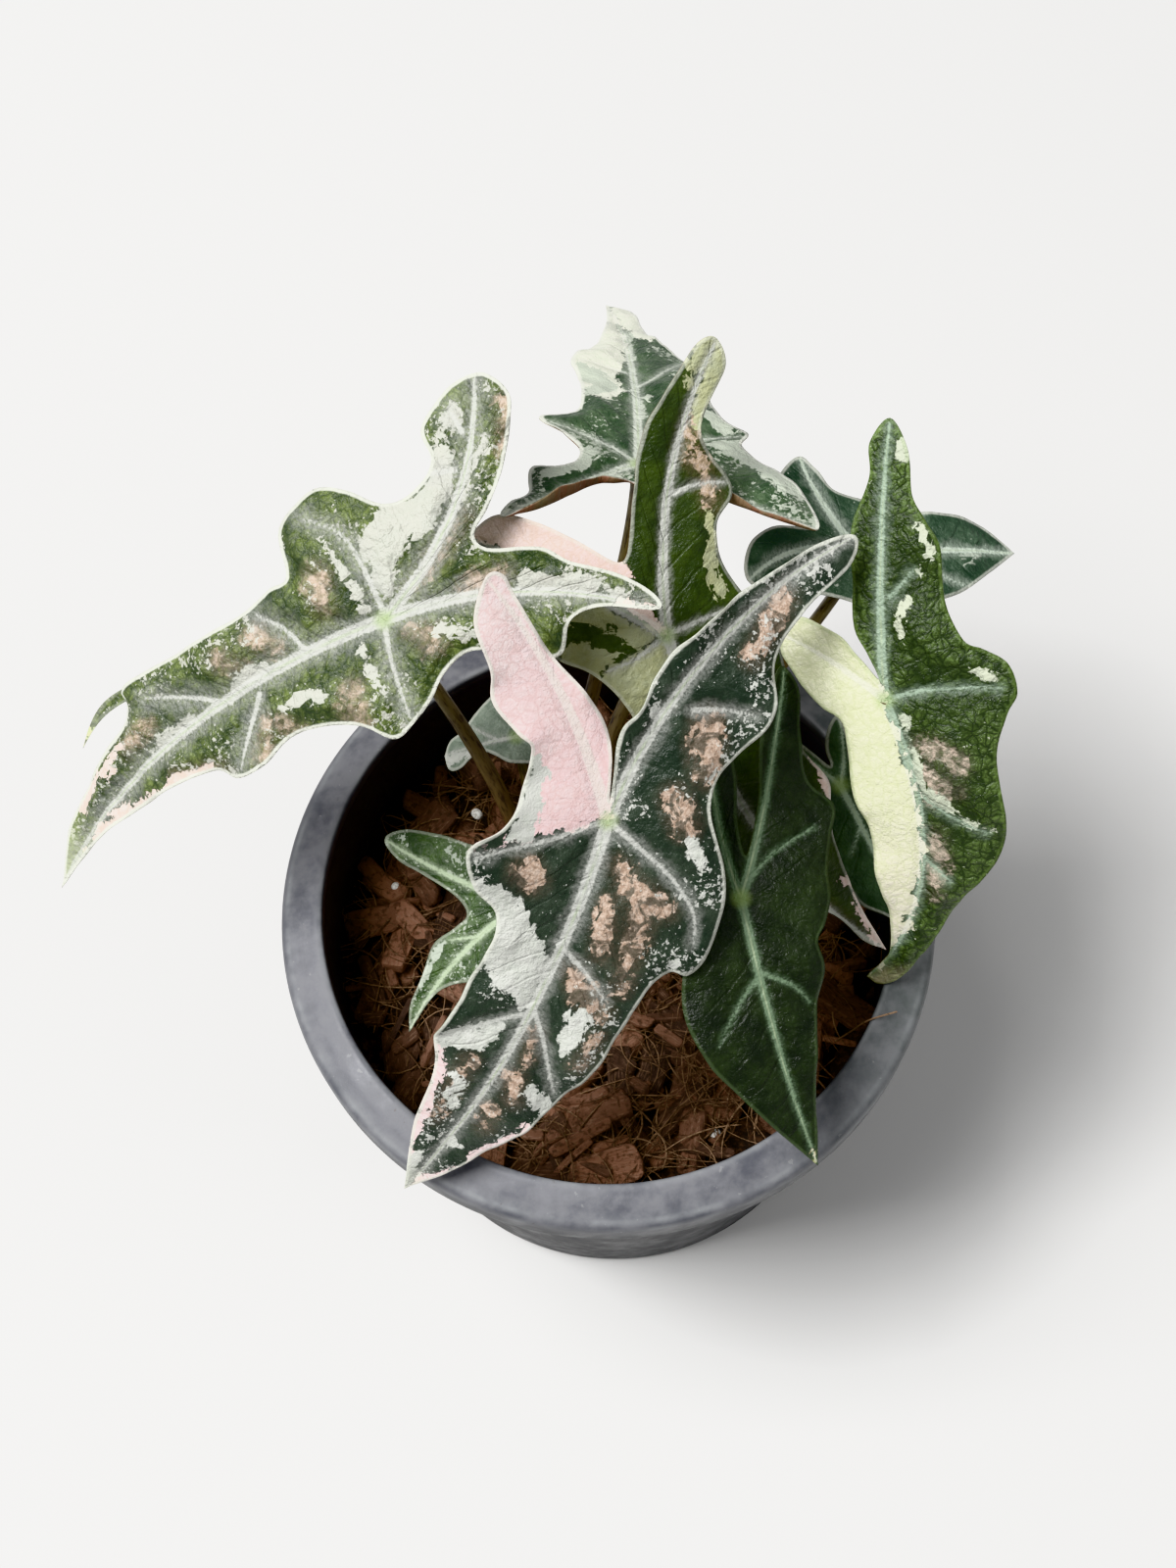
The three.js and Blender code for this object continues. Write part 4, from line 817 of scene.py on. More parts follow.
def outline_halves(leaf):
    """The smooth outline through the leaf's points, as six lines that run from the waist or the sinus
    to the tip of an arm, each with its share of the way at every point."""
    chain, spans = [], {}
    for half, start, backwards in OUTLINE_CHAIN:
        points = leaf[half][::-1] if backwards else leaf[half]
        spans[half] = (len(chain), len(chain) + len(points) + 1, backwards)
        chain += [leaf[start], *points]
    curve = smooth_line([*chain, leaf["tip"]], OUTLINE_STEPS)
    halves = {}
    for half, (first, last, backwards) in spans.items():
        line = curve[first * OUTLINE_STEPS:last * OUTLINE_STEPS + 1]
        line = line[::-1] if backwards else line
        travelled = way_along(line)
        halves[half] = (line, travelled / travelled[-1], travelled[-1])
    return halves


def main_vein(leaf, arm, share):
    """A vein from the hub to an arm's tip: a parabola that stands out from the chord by the bow."""
    tip = np.array(leaf[arm["tip"]], float)
    normal = np.array([tip[1], -tip[0]]) / np.hypot(*tip)
    control = tip / 2 + 2 * leaf[arm["bow"]] * normal
    share = np.asarray(share, float)[..., None]
    return 2 * (1 - share) * share * control + share * share * tip


def vein_and_outline(leaf, arm, outline, share):
    """The points of the main vein and of the outline at each share of the way to an arm's tip."""
    line, travelled, _ = outline
    edge = np.stack([np.interp(share, travelled, line[:, axis]) for axis in (0, 1)], axis=-1)
    return main_vein(leaf, arm, share), edge


def half_grid(leaf, arm, half, outline, columns, rings):
    """One half of an arm as a grid: columns run from the main vein to the outline, and rings along it.
    Gives each point's place on the flat blade, its height and normal from the margin's waves and roll,
    and its side-vein count."""
    length = outline[2]
    f = np.linspace(0, 1, columns)
    foot, edge = vein_and_outline(leaf, arm, outline, f)
    r = np.linspace(0, 1, rings + 1)[None, :, None]
    spread = edge - foot
    width = np.linalg.norm(spread, axis=1)
    plane = foot[:, None] + r * spread[:, None]
    r = r[..., 0]
    fade = np.sin(np.pi * f)[:, None]
    turns = length / WAVE_LENGTH
    height = leaf["wave"] * r * r * fade * np.sin(turns * 2 * np.pi * f[:, None] + WAVE_PHASE * length)
    fine = FINE_WAVE * leaf["wave"] * r ** 4 * fade
    height = height + fine * np.sin(turns * FINE_TURNS * np.pi * f[:, None] + length)
    vein_length = np.hypot(*leaf[arm["tip"]])
    ladder = (f[:, None] * vein_length - LADDER_SLANT * r * width[:, None]) / LADDER_STEP
    normal = np.zeros((columns, rings + 1, 3))
    normal[..., 2] = 1
    if half.endswith("inner") and "inner_roll" in leaf:
        fade = np.sqrt(np.clip(np.sin(np.pi * f), 0, 1))[:, None]
        band = np.minimum(leaf["inner_roll_width"] * fade, width[:, None] * ROLL_SHARE) + STRAIGHT
        bent = np.clip(band - (1 - r) * width[:, None], 0, None)
        radius = band / (math.radians(leaf["inner_roll"]) * np.clip(fade * ROLL_OPENING, 1e-3, 1))
        turn = np.where(fade < ROLL_FADE, 0, bent / radius)
        way = spread / np.maximum(width, STRAIGHT)[:, None]
        drawn = np.where(fade < ROLL_FADE, 0, radius * np.sin(turn) - bent)
        plane = plane + drawn[..., None] * way[:, None]
        height = height + np.where(fade < ROLL_FADE, 0, radius * (1 - np.cos(turn)))
        normal = np.concatenate([-np.sin(turn)[..., None] * way[:, None], np.cos(turn)[..., None]], axis=2)
    return {"plane": plane.reshape(-1, 2), "height": height.ravel(), "normal": normal.reshape(-1, 3),
            "ladder": ladder.ravel(), "ring": (r + 0 * f[:, None]).ravel(),
            "half": np.full(columns * (rings + 1), HALVES.index(half))}


def widest_half(leaf, halves):
    """The longest way from a main vein straight out to the outline."""
    f = np.linspace(0, 1, 40)
    widths = []
    for arm in ARMS:
        for half in arm["halves"]:
            foot, edge = vein_and_outline(leaf, arm, halves[half], f)
            widths.append(np.linalg.norm(edge - foot, axis=1).max())
    return max(widths)


def blade_sheet(leaf, halves):
    """The six halves joined in one sheet of points, with its faces and the edges of its margin."""
    grids, faces, margins, count = [], [], [], 0
    rings = int(np.clip(widest_half(leaf, halves) / RING_STEP, *RINGS))
    for arm in ARMS:
        span = max(halves[half][2] for half in arm["halves"])
        columns = math.ceil(span / GRID_STEP) + 1
        for order, half in enumerate(arm["halves"]):
            grids.append(half_grid(leaf, arm, half, halves[half], columns, rings))
            quads = grid_faces(columns, rings + 1) + count
            edge = np.arange(columns) * (rings + 1) + rings + count
            pairs = np.stack([edge[1:], edge[:-1]], axis=1)
            faces.append(quads if order == 0 else quads[:, ::-1])
            margins.append(pairs if order == 0 else pairs[:, ::-1])
            count += columns * (rings + 1)
    joined = {key: np.concatenate([grid[key] for grid in grids]) for key in grids[0]}
    faces, margins = np.vstack(faces), np.vstack(margins)
    rolled = np.column_stack([joined["plane"], joined["height"]])
    kept, numbers = merged(rolled, np.arange(count))
    sheet = {key: values[kept] for key, values in joined.items()}
    return sheet, numbers[faces], numbers[margins]


def line_gap(places, line, widths):
    """Each place's distance to a line of points and the line's half width where it is nearest."""
    start, step = line[:-1], np.diff(line, axis=0)
    offset = places[:, None, :] - start
    share = (offset * step).sum(2) / np.maximum((step * step).sum(1), 1e-9)
    share = np.clip(share, 0, 1)
    gap = np.linalg.norm(offset - share[..., None] * step, axis=2)
    width = widths[:-1] + share * np.diff(widths)
    nearest = np.argmin(gap - width, axis=1)
    rows = np.arange(len(places))
    return gap[rows, nearest], width[rows, nearest]


def half_depth(leaf, sheet, halves):
    """How deep each point lies in those halves of the blade, and less than nothing outside them. The
    borders are the lines from the hub with just one of those halves beside them."""
    share = np.linspace(0, 1, 30)
    lines = [(arm["halves"], main_vein(leaf, arm, share)) for arm in ARMS]
    lines += [(pair, np.array([(0.0, 0.0), leaf[key]], float)) for pair, key in HALF_BORDERS]
    depth = np.full(len(sheet["half"]), float(FAR))
    for pair, line in lines:
        if (pair[0] in halves) != (pair[1] in halves):
            gap, _ = line_gap(sheet["plane"], line, np.zeros(len(line)))
            depth = np.minimum(depth, gap)
    inside = np.isin(sheet["half"], [HALVES.index(half) for half in halves])
    return np.where(inside, depth, -depth)


def patch_fields(leaf, look, sheet):
    """For each kind of patch, how deep a point lies in the deepest patch of that kind."""
    fields = {kind: np.full(len(sheet["half"]), -float(FAR)) for kind in ("blush", "silver", "dark", "tan")}
    if look["pale_halves"]:
        fields["blush"] = half_depth(leaf, sheet, look["pale_halves"])
    depths = {half: half_depth(leaf, sheet, [half]) for half in HALVES}
    for (kind, half), strokes in look["patches"].items():
        for stroke in strokes:
            stroke = np.array(stroke, float)
            gap, width = line_gap(sheet["plane"], stroke[:, :2], stroke[:, 2])
            fields[kind] = np.maximum(fields[kind], np.minimum(width - gap, depths[half]))
    return fields


def vein_fields(leaf, look, sheet):
    """Distance beyond the edge of the nearest vein, and for the main veins the distance in half widths
    and how thick the vein still is. Veins thin out towards their ends."""
    share = np.linspace(0, 0.98, 60)
    beyond = np.full(len(sheet["half"]), float(FAR))
    ratio = np.full(len(sheet["half"]), 9.0)
    strength = np.zeros(len(sheet["half"]))
    for arm in ARMS:
        reach = min(1, VEIN_LEAST + np.hypot(*leaf[arm["tip"]]) / VEIN_GROWTH)
        widths = look["vein_width"] * reach * (VEIN_END + (1 - VEIN_END) * (1 - share) ** 0.8)
        gap, width = line_gap(sheet["plane"], main_vein(leaf, arm, share), widths)
        beyond = np.minimum(beyond, gap - width)
        nearer = gap / width < ratio
        ratio = np.where(nearer, gap / width, ratio)
        strength = np.where(nearer, width / look["vein_width"], strength)
    for lateral in look["laterals"]:
        line = smooth_line(lateral, 8)
        widths = look["vein_width"] * np.linspace(*LATERAL_WIDTHS, len(line))
        gap, width = line_gap(sheet["plane"], line, widths)
        beyond = np.minimum(beyond, gap - width)
    return beyond, ratio, strength


def margin_gap(halves, sheet):
    """Each point's distance to the outline."""
    gaps = []
    for half in HALVES:
        outline = halves[half][0]
        line = np.vstack([outline[:-1:3], outline[-1]])
        gaps.append(line_gap(sheet["plane"], line, np.zeros(len(line)))[0])
    return np.min(gaps, axis=0)


def blade_mesh(leaf, look):
    """Upper and lower face of a blade. The upper face swells between the side veins and sinks along
    them, the lower face has a rib under each main vein, and the margin is rounded."""
    halves = outline_halves(leaf)
    sheet, faces, margins = blade_sheet(leaf, halves)
    beyond, ratio, strength = vein_fields(leaf, look, sheet)
    patches = patch_fields(leaf, look, sheet)
    margin = margin_gap(halves, sheet)
    ring = sheet["ring"]
    places = np.column_stack([sheet["plane"], sheet["half"] * 0.0])
    smooth = 0.0
    if look["pale_halves"]:
        smooth = smooth_step(half_depth(leaf, sheet, look["pale_halves"]), -2, 2)
    calm = smooth_step(margin, 0, CALM_MARGIN) * (1 - PALE_CALM * smooth)
    rungs = 0.5 - 0.5 * np.cos(2 * np.pi * (sheet["ladder"] + 0.3 * lattice_noise(places, 11, 4)))
    swell = 1 - np.exp(-(np.clip(beyond, 0, None) / SWELL_WIDTH) ** 2)
    bulge = swell * (0.8 + 0.6 * lattice_noise(places, 7, 6)) + RUNG * rungs * ring
    relief = look["quilt"] * calm * bulge - GROOVE * np.exp(-np.clip(beyond, 0, None) ** 2 / 0.9)
    relief = relief + UNEVEN * lattice_noise(places, 9, 3) * np.clip(margin / 3, 0, 1)
    relief = relief + look["pucker"] * calm * lattice_noise(places, 3.6, 8)
    round_edge = np.sqrt(1 - (1 - np.clip(margin / (1.4 * BLADE), 0, 1)) ** 2)
    thick = EDGE / 2 + (BLADE - EDGE) / 2 * round_edge
    rib = RIB * strength * np.exp(-ratio ** 2)
    layers = []
    for offset in (thick, -(thick + rib)):
        u = sheet["plane"][:, 0] + sheet["normal"][:, 0] * offset
        v = sheet["plane"][:, 1] + sheet["normal"][:, 1] * offset
        h = sheet["height"] + sheet["normal"][:, 2] * offset + relief
        layers.append(blade_places(leaf, u, v, h))
    count = len(ring)
    all_faces = two_sided(faces, margins[:, 1], margins[:, 0], count)
    lines = np.column_stack([beyond, ratio, margin])
    pale = np.column_stack([patches["blush"], patches["silver"], patches["dark"]])
    spots = np.column_stack([patches["tan"], sheet["ladder"], ring])
    plane = np.column_stack([sheet["plane"], np.zeros(count)])
    fields = {"plane": plane, "lines": lines, "pale": pale, "spots": spots}
    fields = {key: np.vstack([values, values]) for key, values in fields.items()}
    fields["under"] = np.repeat([0.0, 1.0], count)
    return np.vstack(layers), all_faces, fields


def spur_mesh(leaf):
    """The hooked side tip: a thin sheet from a stretch of the margin, drawn to a point along a bow."""
    spur = leaf["spur"]
    columns, rows = SPUR_GRID
    t = np.linspace(0, 1, columns)[:, None]
    s = np.linspace(0, 1, rows)[None, :]
    start, end, tip = (np.array(spur[key], float) for key in ("start", "end", "tip"))
    root = start + (end - start) * s[..., None] - (0, SPUR_ROOT)
    plane = root + (tip - root) * t[..., None]
    plane[..., 0] += spur["bulge"] * np.sin(np.pi * t) * (1 - 0.4 * s)
    thick = (SPUR_EDGE + SPUR_SWELL * np.sqrt(4 * s * (1 - s))) * (1 - 0.6 * t)
    cup = SPUR_CUP * (2 * s - 1) ** 2 * (1 - t)
    u, v = plane[..., 0].ravel(), plane[..., 1].ravel()
    layers = [blade_places(leaf, u, v, (cup + sign * thick).ravel()) for sign in (1, -1)]
    count = columns * rows
    faces = grid_faces(columns, rows)[:, ::-1]
    numbers = np.arange(count).reshape(columns, rows)
    loop = np.concatenate([numbers[:, 0], numbers[-1, 1:], numbers[-2::-1, -1], numbers[0, -2:0:-1]])
    flat = np.zeros(2 * count)
    edge = np.tile((np.minimum(s, 1 - s) * spur["width"] * (1 - t)).ravel(), 2)
    plane = np.column_stack([np.tile(u, 2), np.tile(v, 2), flat])
    tone = np.tile((3 * t + 0 * s - 2.2).ravel(), 2)
    fields = {
        "plane": plane,
        "lines": np.column_stack([flat + FAR, flat + 9, edge]),
        "pale": np.column_stack([tone, flat - FAR, flat - FAR]),
        "spots": np.column_stack([flat - FAR, flat + 0.25, flat + 0.5]),
        "under": np.repeat([0.0, 1.0], count),
    }
    return np.vstack(layers), two_sided(faces, loop, np.roll(loop, -1), count), fields


# Stalks, crown, pot and mix

def stalk_path(leaf):
    """Straight up out of the mix, then a cubic curve that arrives under the hub, leaning with the blade."""
    turn = math.radians(leaf["base"])
    x, y = (CROWN[i] + STALK_CIRCLE * part for i, part in enumerate((math.cos(turn), math.sin(turn))))
    up = leaf_axes(leaf)[2]
    top = np.array(leaf["hub"], float) - up * STALK_END_DEPTH
    arrival = np.array([0, 0, 1.0]) * (1 - STALK_LEAN) + up * STALK_LEAN
    arrival /= np.linalg.norm(arrival)
    foot = np.array([x, y, MIX_LEVEL - ROOT_DEPTH], float)
    collar = np.array([x, y, MIX_LEVEL + COLLAR], float)
    lower = np.array(leaf.get("knee", collar + (0, 0, leaf["rise"])), float)
    upper = top - leaf["reach"] * arrival
    t = np.linspace(0, 1, STALK_STEPS)[:, None]
    curve = ((1 - t) ** 3 * collar + 3 * (1 - t) ** 2 * t * lower + 3 * (1 - t) * t * t * upper
             + t ** 3 * top)
    straight = foot + (collar - foot) * np.linspace(0, 1, STALK_FOOT_STEPS)[:-1, None]
    return np.vstack([straight, curve])


def stalk_mesh(leaf):
    """A stalk that thins upwards, sheathes out at its foot and widens again where the blade begins."""
    path = stalk_path(leaf)
    share = np.clip((np.arange(len(path)) - STALK_FOOT_STEPS + 1) / (STALK_STEPS - 1), 0, 1)
    radii = STALK_BASE_RADIUS + (STALK_TOP_RADIUS - STALK_BASE_RADIUS) * np.sqrt(share)
    radii = radii + STALK_SHEATH * np.exp(-((share - 0.06) / 0.05) ** 2)
    radii = radii + STALK_FLARE * smooth_step(share, 0.94, 1)
    radii[-1] *= 0.6
    places, faces, along = tube(path, radii, STALK_SIDES, STALK_RIDGES, STALK_RIDGE)
    length = along[:, 1].max()
    skin = np.column_stack([np.sin(along[:, 0]) * 2, np.cos(along[:, 0]) * 2, along[:, 1]])
    return places, faces, {"skin": skin, "way": along[:, 1] / length}


def crown_mesh():
    """The corm: a lathe whose radius falls towards its top, with a ripple for each old leaf scar."""
    height = np.linspace(MIX_LEVEL - ROOT_DEPTH, CROWN_TOP, 64)
    share = (height - height[0]) / (height[-1] - height[0])
    scars = 1 - SCAR_DEPTH + SCAR_DEPTH * np.cos(share * SCAR_PHASE)
    radius = CROWN_RADIUS * np.sqrt(np.clip(1 - share ** CROWN_TAPER, 0, 1)) * scars
    radius = np.minimum(radius, CROWN_RADIUS)
    profile = np.vstack([[0, height[0]], np.column_stack([radius, height])])
    places, faces = lathe(profile, CROWN_SIDES)
    places[:, :2] *= (1 + 0.035 * lattice_noise(places, 3.0, 5))[:, None] - 0.03
    kept, faces = merged(places, faces)
    return places[kept] + (*CROWN, 0), faces, {}


def wall_radius(height):
    """The pot's wall widens evenly from its base to the rim's skirt."""
    share = height / (POT_HEIGHT - RIM_SKIRT_DEPTH)
    return BASE_RADIUS + (WALL_TOP_RADIUS - BASE_RADIUS) * share


def rounded_profile(corners, radius):
    """Each corner becomes a quadratic curve that begins and ends up to the radius from it, with a
    point close by on each side that keeps the straight stretches flat."""
    corners = np.asarray(corners, float)
    points = [corners[0]]
    for before, corner, after in zip(corners[:-2], corners[1:-1], corners[2:]):
        arms = []
        for end in (before, after):
            length = np.linalg.norm(end - corner)
            arms.append((end - corner) / length * min(radius, length * 0.42))
        t = np.linspace(0, 1, 6)[:, None]
        bend = corner + (1 - t) ** 2 * arms[0] + t * t * arms[1]
        points += [corner + arms[0] * 1.12, *bend, corner + arms[1] * 1.12]
    points.append(corners[-1])
    return np.array(points)


def drain_sector(turn):
    """One sixth of the floor's ring between the drain band's radii, at both heights, around one round
    hole: rings run from the hole's circle straight out to the sector's border, and a wall lines it."""
    per_sector = POT_SIDES // DRAIN_HOLES
    step = 2 * np.pi / POT_SIDES
    around = turn + (np.arange(per_sector + 1) - per_sector / 2) * step
    inner, outer = DRAIN_BAND
    between = np.linspace(outer, inner, DRAIN_STEPS // 4 + 1)[1:-1]
    radius = np.concatenate([np.full(len(around), outer), between, np.full(len(around), inner),
                             between[::-1]])
    angle = np.concatenate([around, np.full(len(between), around[-1]), around[::-1],
                            np.full(len(between), around[0])])
    border = around_axis(radius, angle)[:, :2]
    centre = DRAIN_CIRCLE * np.array([math.cos(turn), math.sin(turn)])
    way = border - centre
    circle = centre + way / np.linalg.norm(way, axis=1, keepdims=True) * DRAIN_RADIUS
    shares = np.linspace(0, 1, 6)
    flat = circle[:, None] + shares[None, :, None] * (border - circle)[:, None]
    count = flat.shape[0] * flat.shape[1]
    layers = [np.column_stack([flat.reshape(-1, 2), np.full(count, height)]) for height in (0.0, FLOOR)]
    faces = grid_faces(len(border), len(shares), closed_columns=True)
    first = np.arange(len(border)) * len(shares)
    return np.vstack(layers), two_sided(faces, np.roll(first, -1), first, count)


def pot_mesh():
    """The pot: one profile turned about its axis for wall and rim, a disc at the floor's middle, and
    six sectors with a drain hole each between them."""
    skirt = POT_HEIGHT - RIM_SKIRT_DEPTH
    ceiling = POT_HEIGHT - FLANGE
    ledge = ceiling - LEDGE
    brim = RIM_OUTER_RADIUS - RIM_WALL
    inner, outer = DRAIN_BAND
    corners = [
        (outer, 0), (BASE_RADIUS - BASE_BEVEL, 0), (BASE_RADIUS - BASE_BEVEL_TOP, BASE_BEVEL_TOP),
        (wall_radius(BASE_BEVEL), BASE_BEVEL), (wall_radius(skirt), skirt),
        (wall_radius(skirt) + SKIRT_FILLET, ceiling), (brim, ceiling - FLANGE_FALL), (brim, skirt),
        (RIM_OUTER_RADIUS - SKIRT_FILLET, skirt),
        *((RIM_OUTER_RADIUS - inward, POT_HEIGHT - down) for inward, down in RIM_CROWN),
        *((RIM_INNER_RADIUS + outward, POT_HEIGHT - down) for outward, down in RIM_LIP),
        (wall_radius(ledge) - WALL, ledge), (wall_radius(FLOOR) - WALL, FLOOR), (outer, FLOOR),
    ]
    parts = [lathe(rounded_profile(corners, EDGE_ROUNDING), POT_SIDES),
             lathe([(0, 0), (inner, 0)], POT_SIDES), lathe([(inner, FLOOR), (0, FLOOR)], POT_SIDES)]
    parts += [drain_sector(2 * np.pi * i / DRAIN_HOLES) for i in range(DRAIN_HOLES)]
    places, faces = joined_parts(parts)
    kept, faces = merged(places, faces)
    places = places[kept]
    radius = np.hypot(places[:, 0], places[:, 1])
    # How near each point lies to the rim's edges, for the lighter tone there that is partly wear and partly
    # painted highlight
    wear_and_highlight = np.zeros(len(places))
    for edge_radius, edge_height in POT_EDGES:
        gap = np.hypot(radius - edge_radius, places[:, 2] - edge_height)
        wear_and_highlight = np.maximum(wear_and_highlight, np.exp(-(gap / EDGE_WEAR_AND_HIGHLIGHT) ** 2))
    return places, faces, {"wear_and_highlight": wear_and_highlight}


def joined_parts(parts):
    """Puts the points and faces of several shapes one after the other."""
    places, faces, count = [], [], 0
    for part_places, part_faces in parts:
        places.append(part_places)
        faces.append(part_faces + count)
        count += len(part_places)
    return np.vstack(places), np.vstack(faces)


def bed_height(x, y):
    """The mix below the chips: crumbs of two sizes on a gently sloping bed."""
    places = np.stack([x, y, 0 * x], axis=-1)
    crumbs = sum(rise * lattice_noise(places, size, seed) for rise, size, seed in CRUMBS)
    return MIX_LEVEL - BED_DROP + BED_SLOPE[0] * x + BED_SLOPE[1] * y + crumbs


def bed_mesh():
    """The filled body of the mix: a disc of crumbs, a wall that follows the pot's, and a flat underside."""
    sides, rings = 240, 84
    bottom = FLOOR + CLEARANCE
    top_radius = wall_radius(MIX_LEVEL - BED_EDGE_DROP) - WALL - CLEARANCE
    bottom_radius = wall_radius(bottom) - WALL - CLEARANCE
    turn = full_turn(sides)[:, None]
    low = around_axis(np.array([0, bottom_radius]), turn, bottom)
    top = around_axis(top_radius * np.linspace(1, 0, rings), turn)
    top[..., 2] = bed_height(top[..., 0], top[..., 1])
    places = np.concatenate([low, top], axis=1).reshape(-1, 3)
    kept, faces = merged(places, grid_faces(sides, rings + 2, closed_columns=True))
    return places[kept], faces, {}


def copied_faces(faces, copies, size):
    """The faces of copies of one shape, whose points follow each other with size points to a copy."""
    return (faces[None] + (np.arange(copies) * size)[:, None, None]).reshape(-1, 4)


def turned_about(axis, angle):
    """A matrix for each angle that turns about the axis, as 3 by 3 by the number of angles."""
    first, second = (axis + 1) % 3, (axis + 2) % 3
    matrix = np.zeros((3, 3, len(angle)))
    matrix[axis, axis] = 1
    matrix[first, first] = matrix[second, second] = np.cos(angle)
    matrix[second, first] = np.sin(angle)
    matrix[first, second] = -np.sin(angle)
    return matrix


def turned_frames(random, count, tilt):
    """Random turns about the vertical, then tilts up to the given angle, as one matrix for each."""
    spin = random.uniform(0, 2 * np.pi, count)
    lean, side = (random.uniform(-1, 1, count) * tilt for _ in range(2))
    return np.einsum("ijn,jkn,kln->nil", turned_about(2, spin), turned_about(0, lean),
                     turned_about(1, side))


def chips_mesh(random, centres, half_sizes, tilt, squareness, roughness):
    """Blunt boxes of bark or husk: each is a ball whose sines and cosines are raised to a low power,
    stretched to its sizes, turned, and roughened by noise along its own grain."""
    around, rows = 18, 11
    turn = full_turn(around)[:, None]
    rise = np.linspace(-np.pi / 2, np.pi / 2, rows)[None, :]

    def blunt(value):
        return np.sign(value) * np.abs(value) ** squareness

    ball = np.stack([blunt(np.cos(rise)) * blunt(np.cos(turn)), blunt(np.cos(rise)) * blunt(np.sin(turn)),
                     blunt(np.sin(rise)) + 0 * turn], axis=-1).reshape(-1, 3)
    count = len(centres)
    local = ball[None] * half_sizes[:, None]
    offset = random.uniform(0, 500, (count, 1, 3))
    grain = (local + offset) * (0.35, 1, 1)
    local = local * (1 + roughness * lattice_noise(grain, 2.6, 31)[..., None])
    bow = random.uniform(-0.03, 0.03, (count, 1))
    local[..., 2] += bow * local[..., 0] ** 2
    places = np.einsum("nij,npj->npi", turned_frames(random, count, tilt), local) + centres[:, None]
    faces = copied_faces(grid_faces(around, rows, closed_columns=True), count, len(ball))
    tone = np.repeat(random.uniform(0, 1, count) ** 1.5, len(ball))
    places, fields = places.reshape(-1, 3), {"grain": (local + offset).reshape(-1, 3), "tone": tone}
    kept, faces = merged(places, faces)
    return places[kept], faces, {key: values[kept] for key, values in fields.items()}


def scattered(random, count, radius, keep_clear):
    """Random places in a disc, none closer to the crown than keep_clear."""
    distance = radius * np.sqrt(random.uniform(0, 1, count * 2))
    turn = random.uniform(0, 2 * np.pi, count * 2)
    spots = around_axis(distance, turn)[:, :2]
    far = np.hypot(spots[:, 0] - CROWN[0], spots[:, 1] - CROWN[1]) > keep_clear
    return spots[far][:count]


def husk_mesh(random, count, sizes, level, spread, keep_clear, tilt):
    """One layer of chips, whose half sizes lie between the two given triples."""
    spots = scattered(random, count, spread, keep_clear)
    slope = BED_SLOPE[0] * spots[:, 0] + BED_SLOPE[1] * spots[:, 1]
    heights = MIX_LEVEL + slope + random.uniform(*level, len(spots))
    half_sizes = random.uniform(0, 1, (len(spots), 3)) * (np.array(sizes[1]) - sizes[0]) + sizes[0]
    centres = np.column_stack([spots, heights])
    distance = np.hypot(*spots.T)
    over = np.clip(distance + half_sizes[:, 0] - HUSK_REACH, 0, None) / np.maximum(distance, 1)
    centres[:, :2] *= (1 - over)[:, None]
    return chips_mesh(random, centres, half_sizes, tilt, *CHIP_FORM)


def fibres_mesh(random, count):
    """Thin coir fibres: each runs both ways from a random place and bends on an arc, with four sides."""
    steps, sides = 10, 4
    spots = scattered(random, count, FIBRE_SPREAD, FIBRE_CLEAR)
    heading = random.uniform(0, 2 * np.pi, len(spots))[:, None]
    bend = random.uniform(-FIBRE_BEND, FIBRE_BEND, len(spots))[:, None]
    length = random.uniform(*FIBRE_LENGTHS, len(spots))[:, None]
    way = np.linspace(-0.5, 0.5, steps)[None, :] * length
    angle = heading + bend * way
    x = spots[:, :1] + way * np.cos(angle)
    y = spots[:, 1:] + way * np.sin(angle)
    inward = np.minimum(1, HUSK_REACH / np.maximum(np.hypot(x, y), 1))
    x, y = x * inward, y * inward
    lift = random.uniform(0, FIBRE_LIFT, (len(spots), 1))
    climb = random.uniform(*FIBRE_CLIMB, (len(spots), 1)) * way
    z = MIX_LEVEL + BED_SLOPE[0] * x + BED_SLOPE[1] * y + lift + climb
    path = np.stack([x, y, z], axis=-1)
    tangent = np.gradient(path, axis=1)
    tangent /= np.linalg.norm(tangent, axis=2, keepdims=True)
    across = np.cross(tangent, (0.0, 0.0, 1.0))
    other = np.cross(tangent, across)
    turn = full_turn(sides)
    thick = random.uniform(*FIBRE_RADII, (len(spots), 1, 1, 1)) * np.sin(
        np.linspace(0.12, np.pi - 0.12, steps))[None, :, None, None] ** 0.5
    places = path[:, :, None] + thick * (np.cos(turn)[:, None] * across[:, :, None]
                                         + np.sin(turn)[:, None] * other[:, :, None])
    around = np.stack([grid_faces(steps, sides + 1)[:, i] for i in range(4)], axis=1)
    around = (around // (sides + 1)) * sides + (around % (sides + 1)) % sides
    last = (steps - 1) * sides
    caps = np.array([[3, 2, 1, 0], [last, last + 1, last + 2, last + 3]])[:, ::-1]
    faces = copied_faces(np.vstack([around[:, ::-1], caps]), len(spots), steps * sides)
    tone = np.repeat(random.uniform(0, 1, len(spots)), steps * sides)
    places = places.reshape(-1, 3)
    return places, faces, {"tone": tone, "grain": places}


def stray_fibre_mesh():
    """One fibre that leans over the rim: a thin tube along a smooth curve."""
    path = smooth_line(STRAY_FIBRE, 10)
    places, faces, _ = tube(path, np.full(len(path), STRAY_RADIUS), 6)
    return places, faces, {"tone": np.ones(len(places)), "grain": places}


def stacked(meshes):
    """Several meshes with the same fields, as one."""
    places, faces = joined_parts([(mesh[0], mesh[1]) for mesh in meshes])
    fields = {key: np.concatenate([mesh[2][key] for mesh in meshes]) for key in meshes[0][2]}
    return places, faces, fields


# Materials

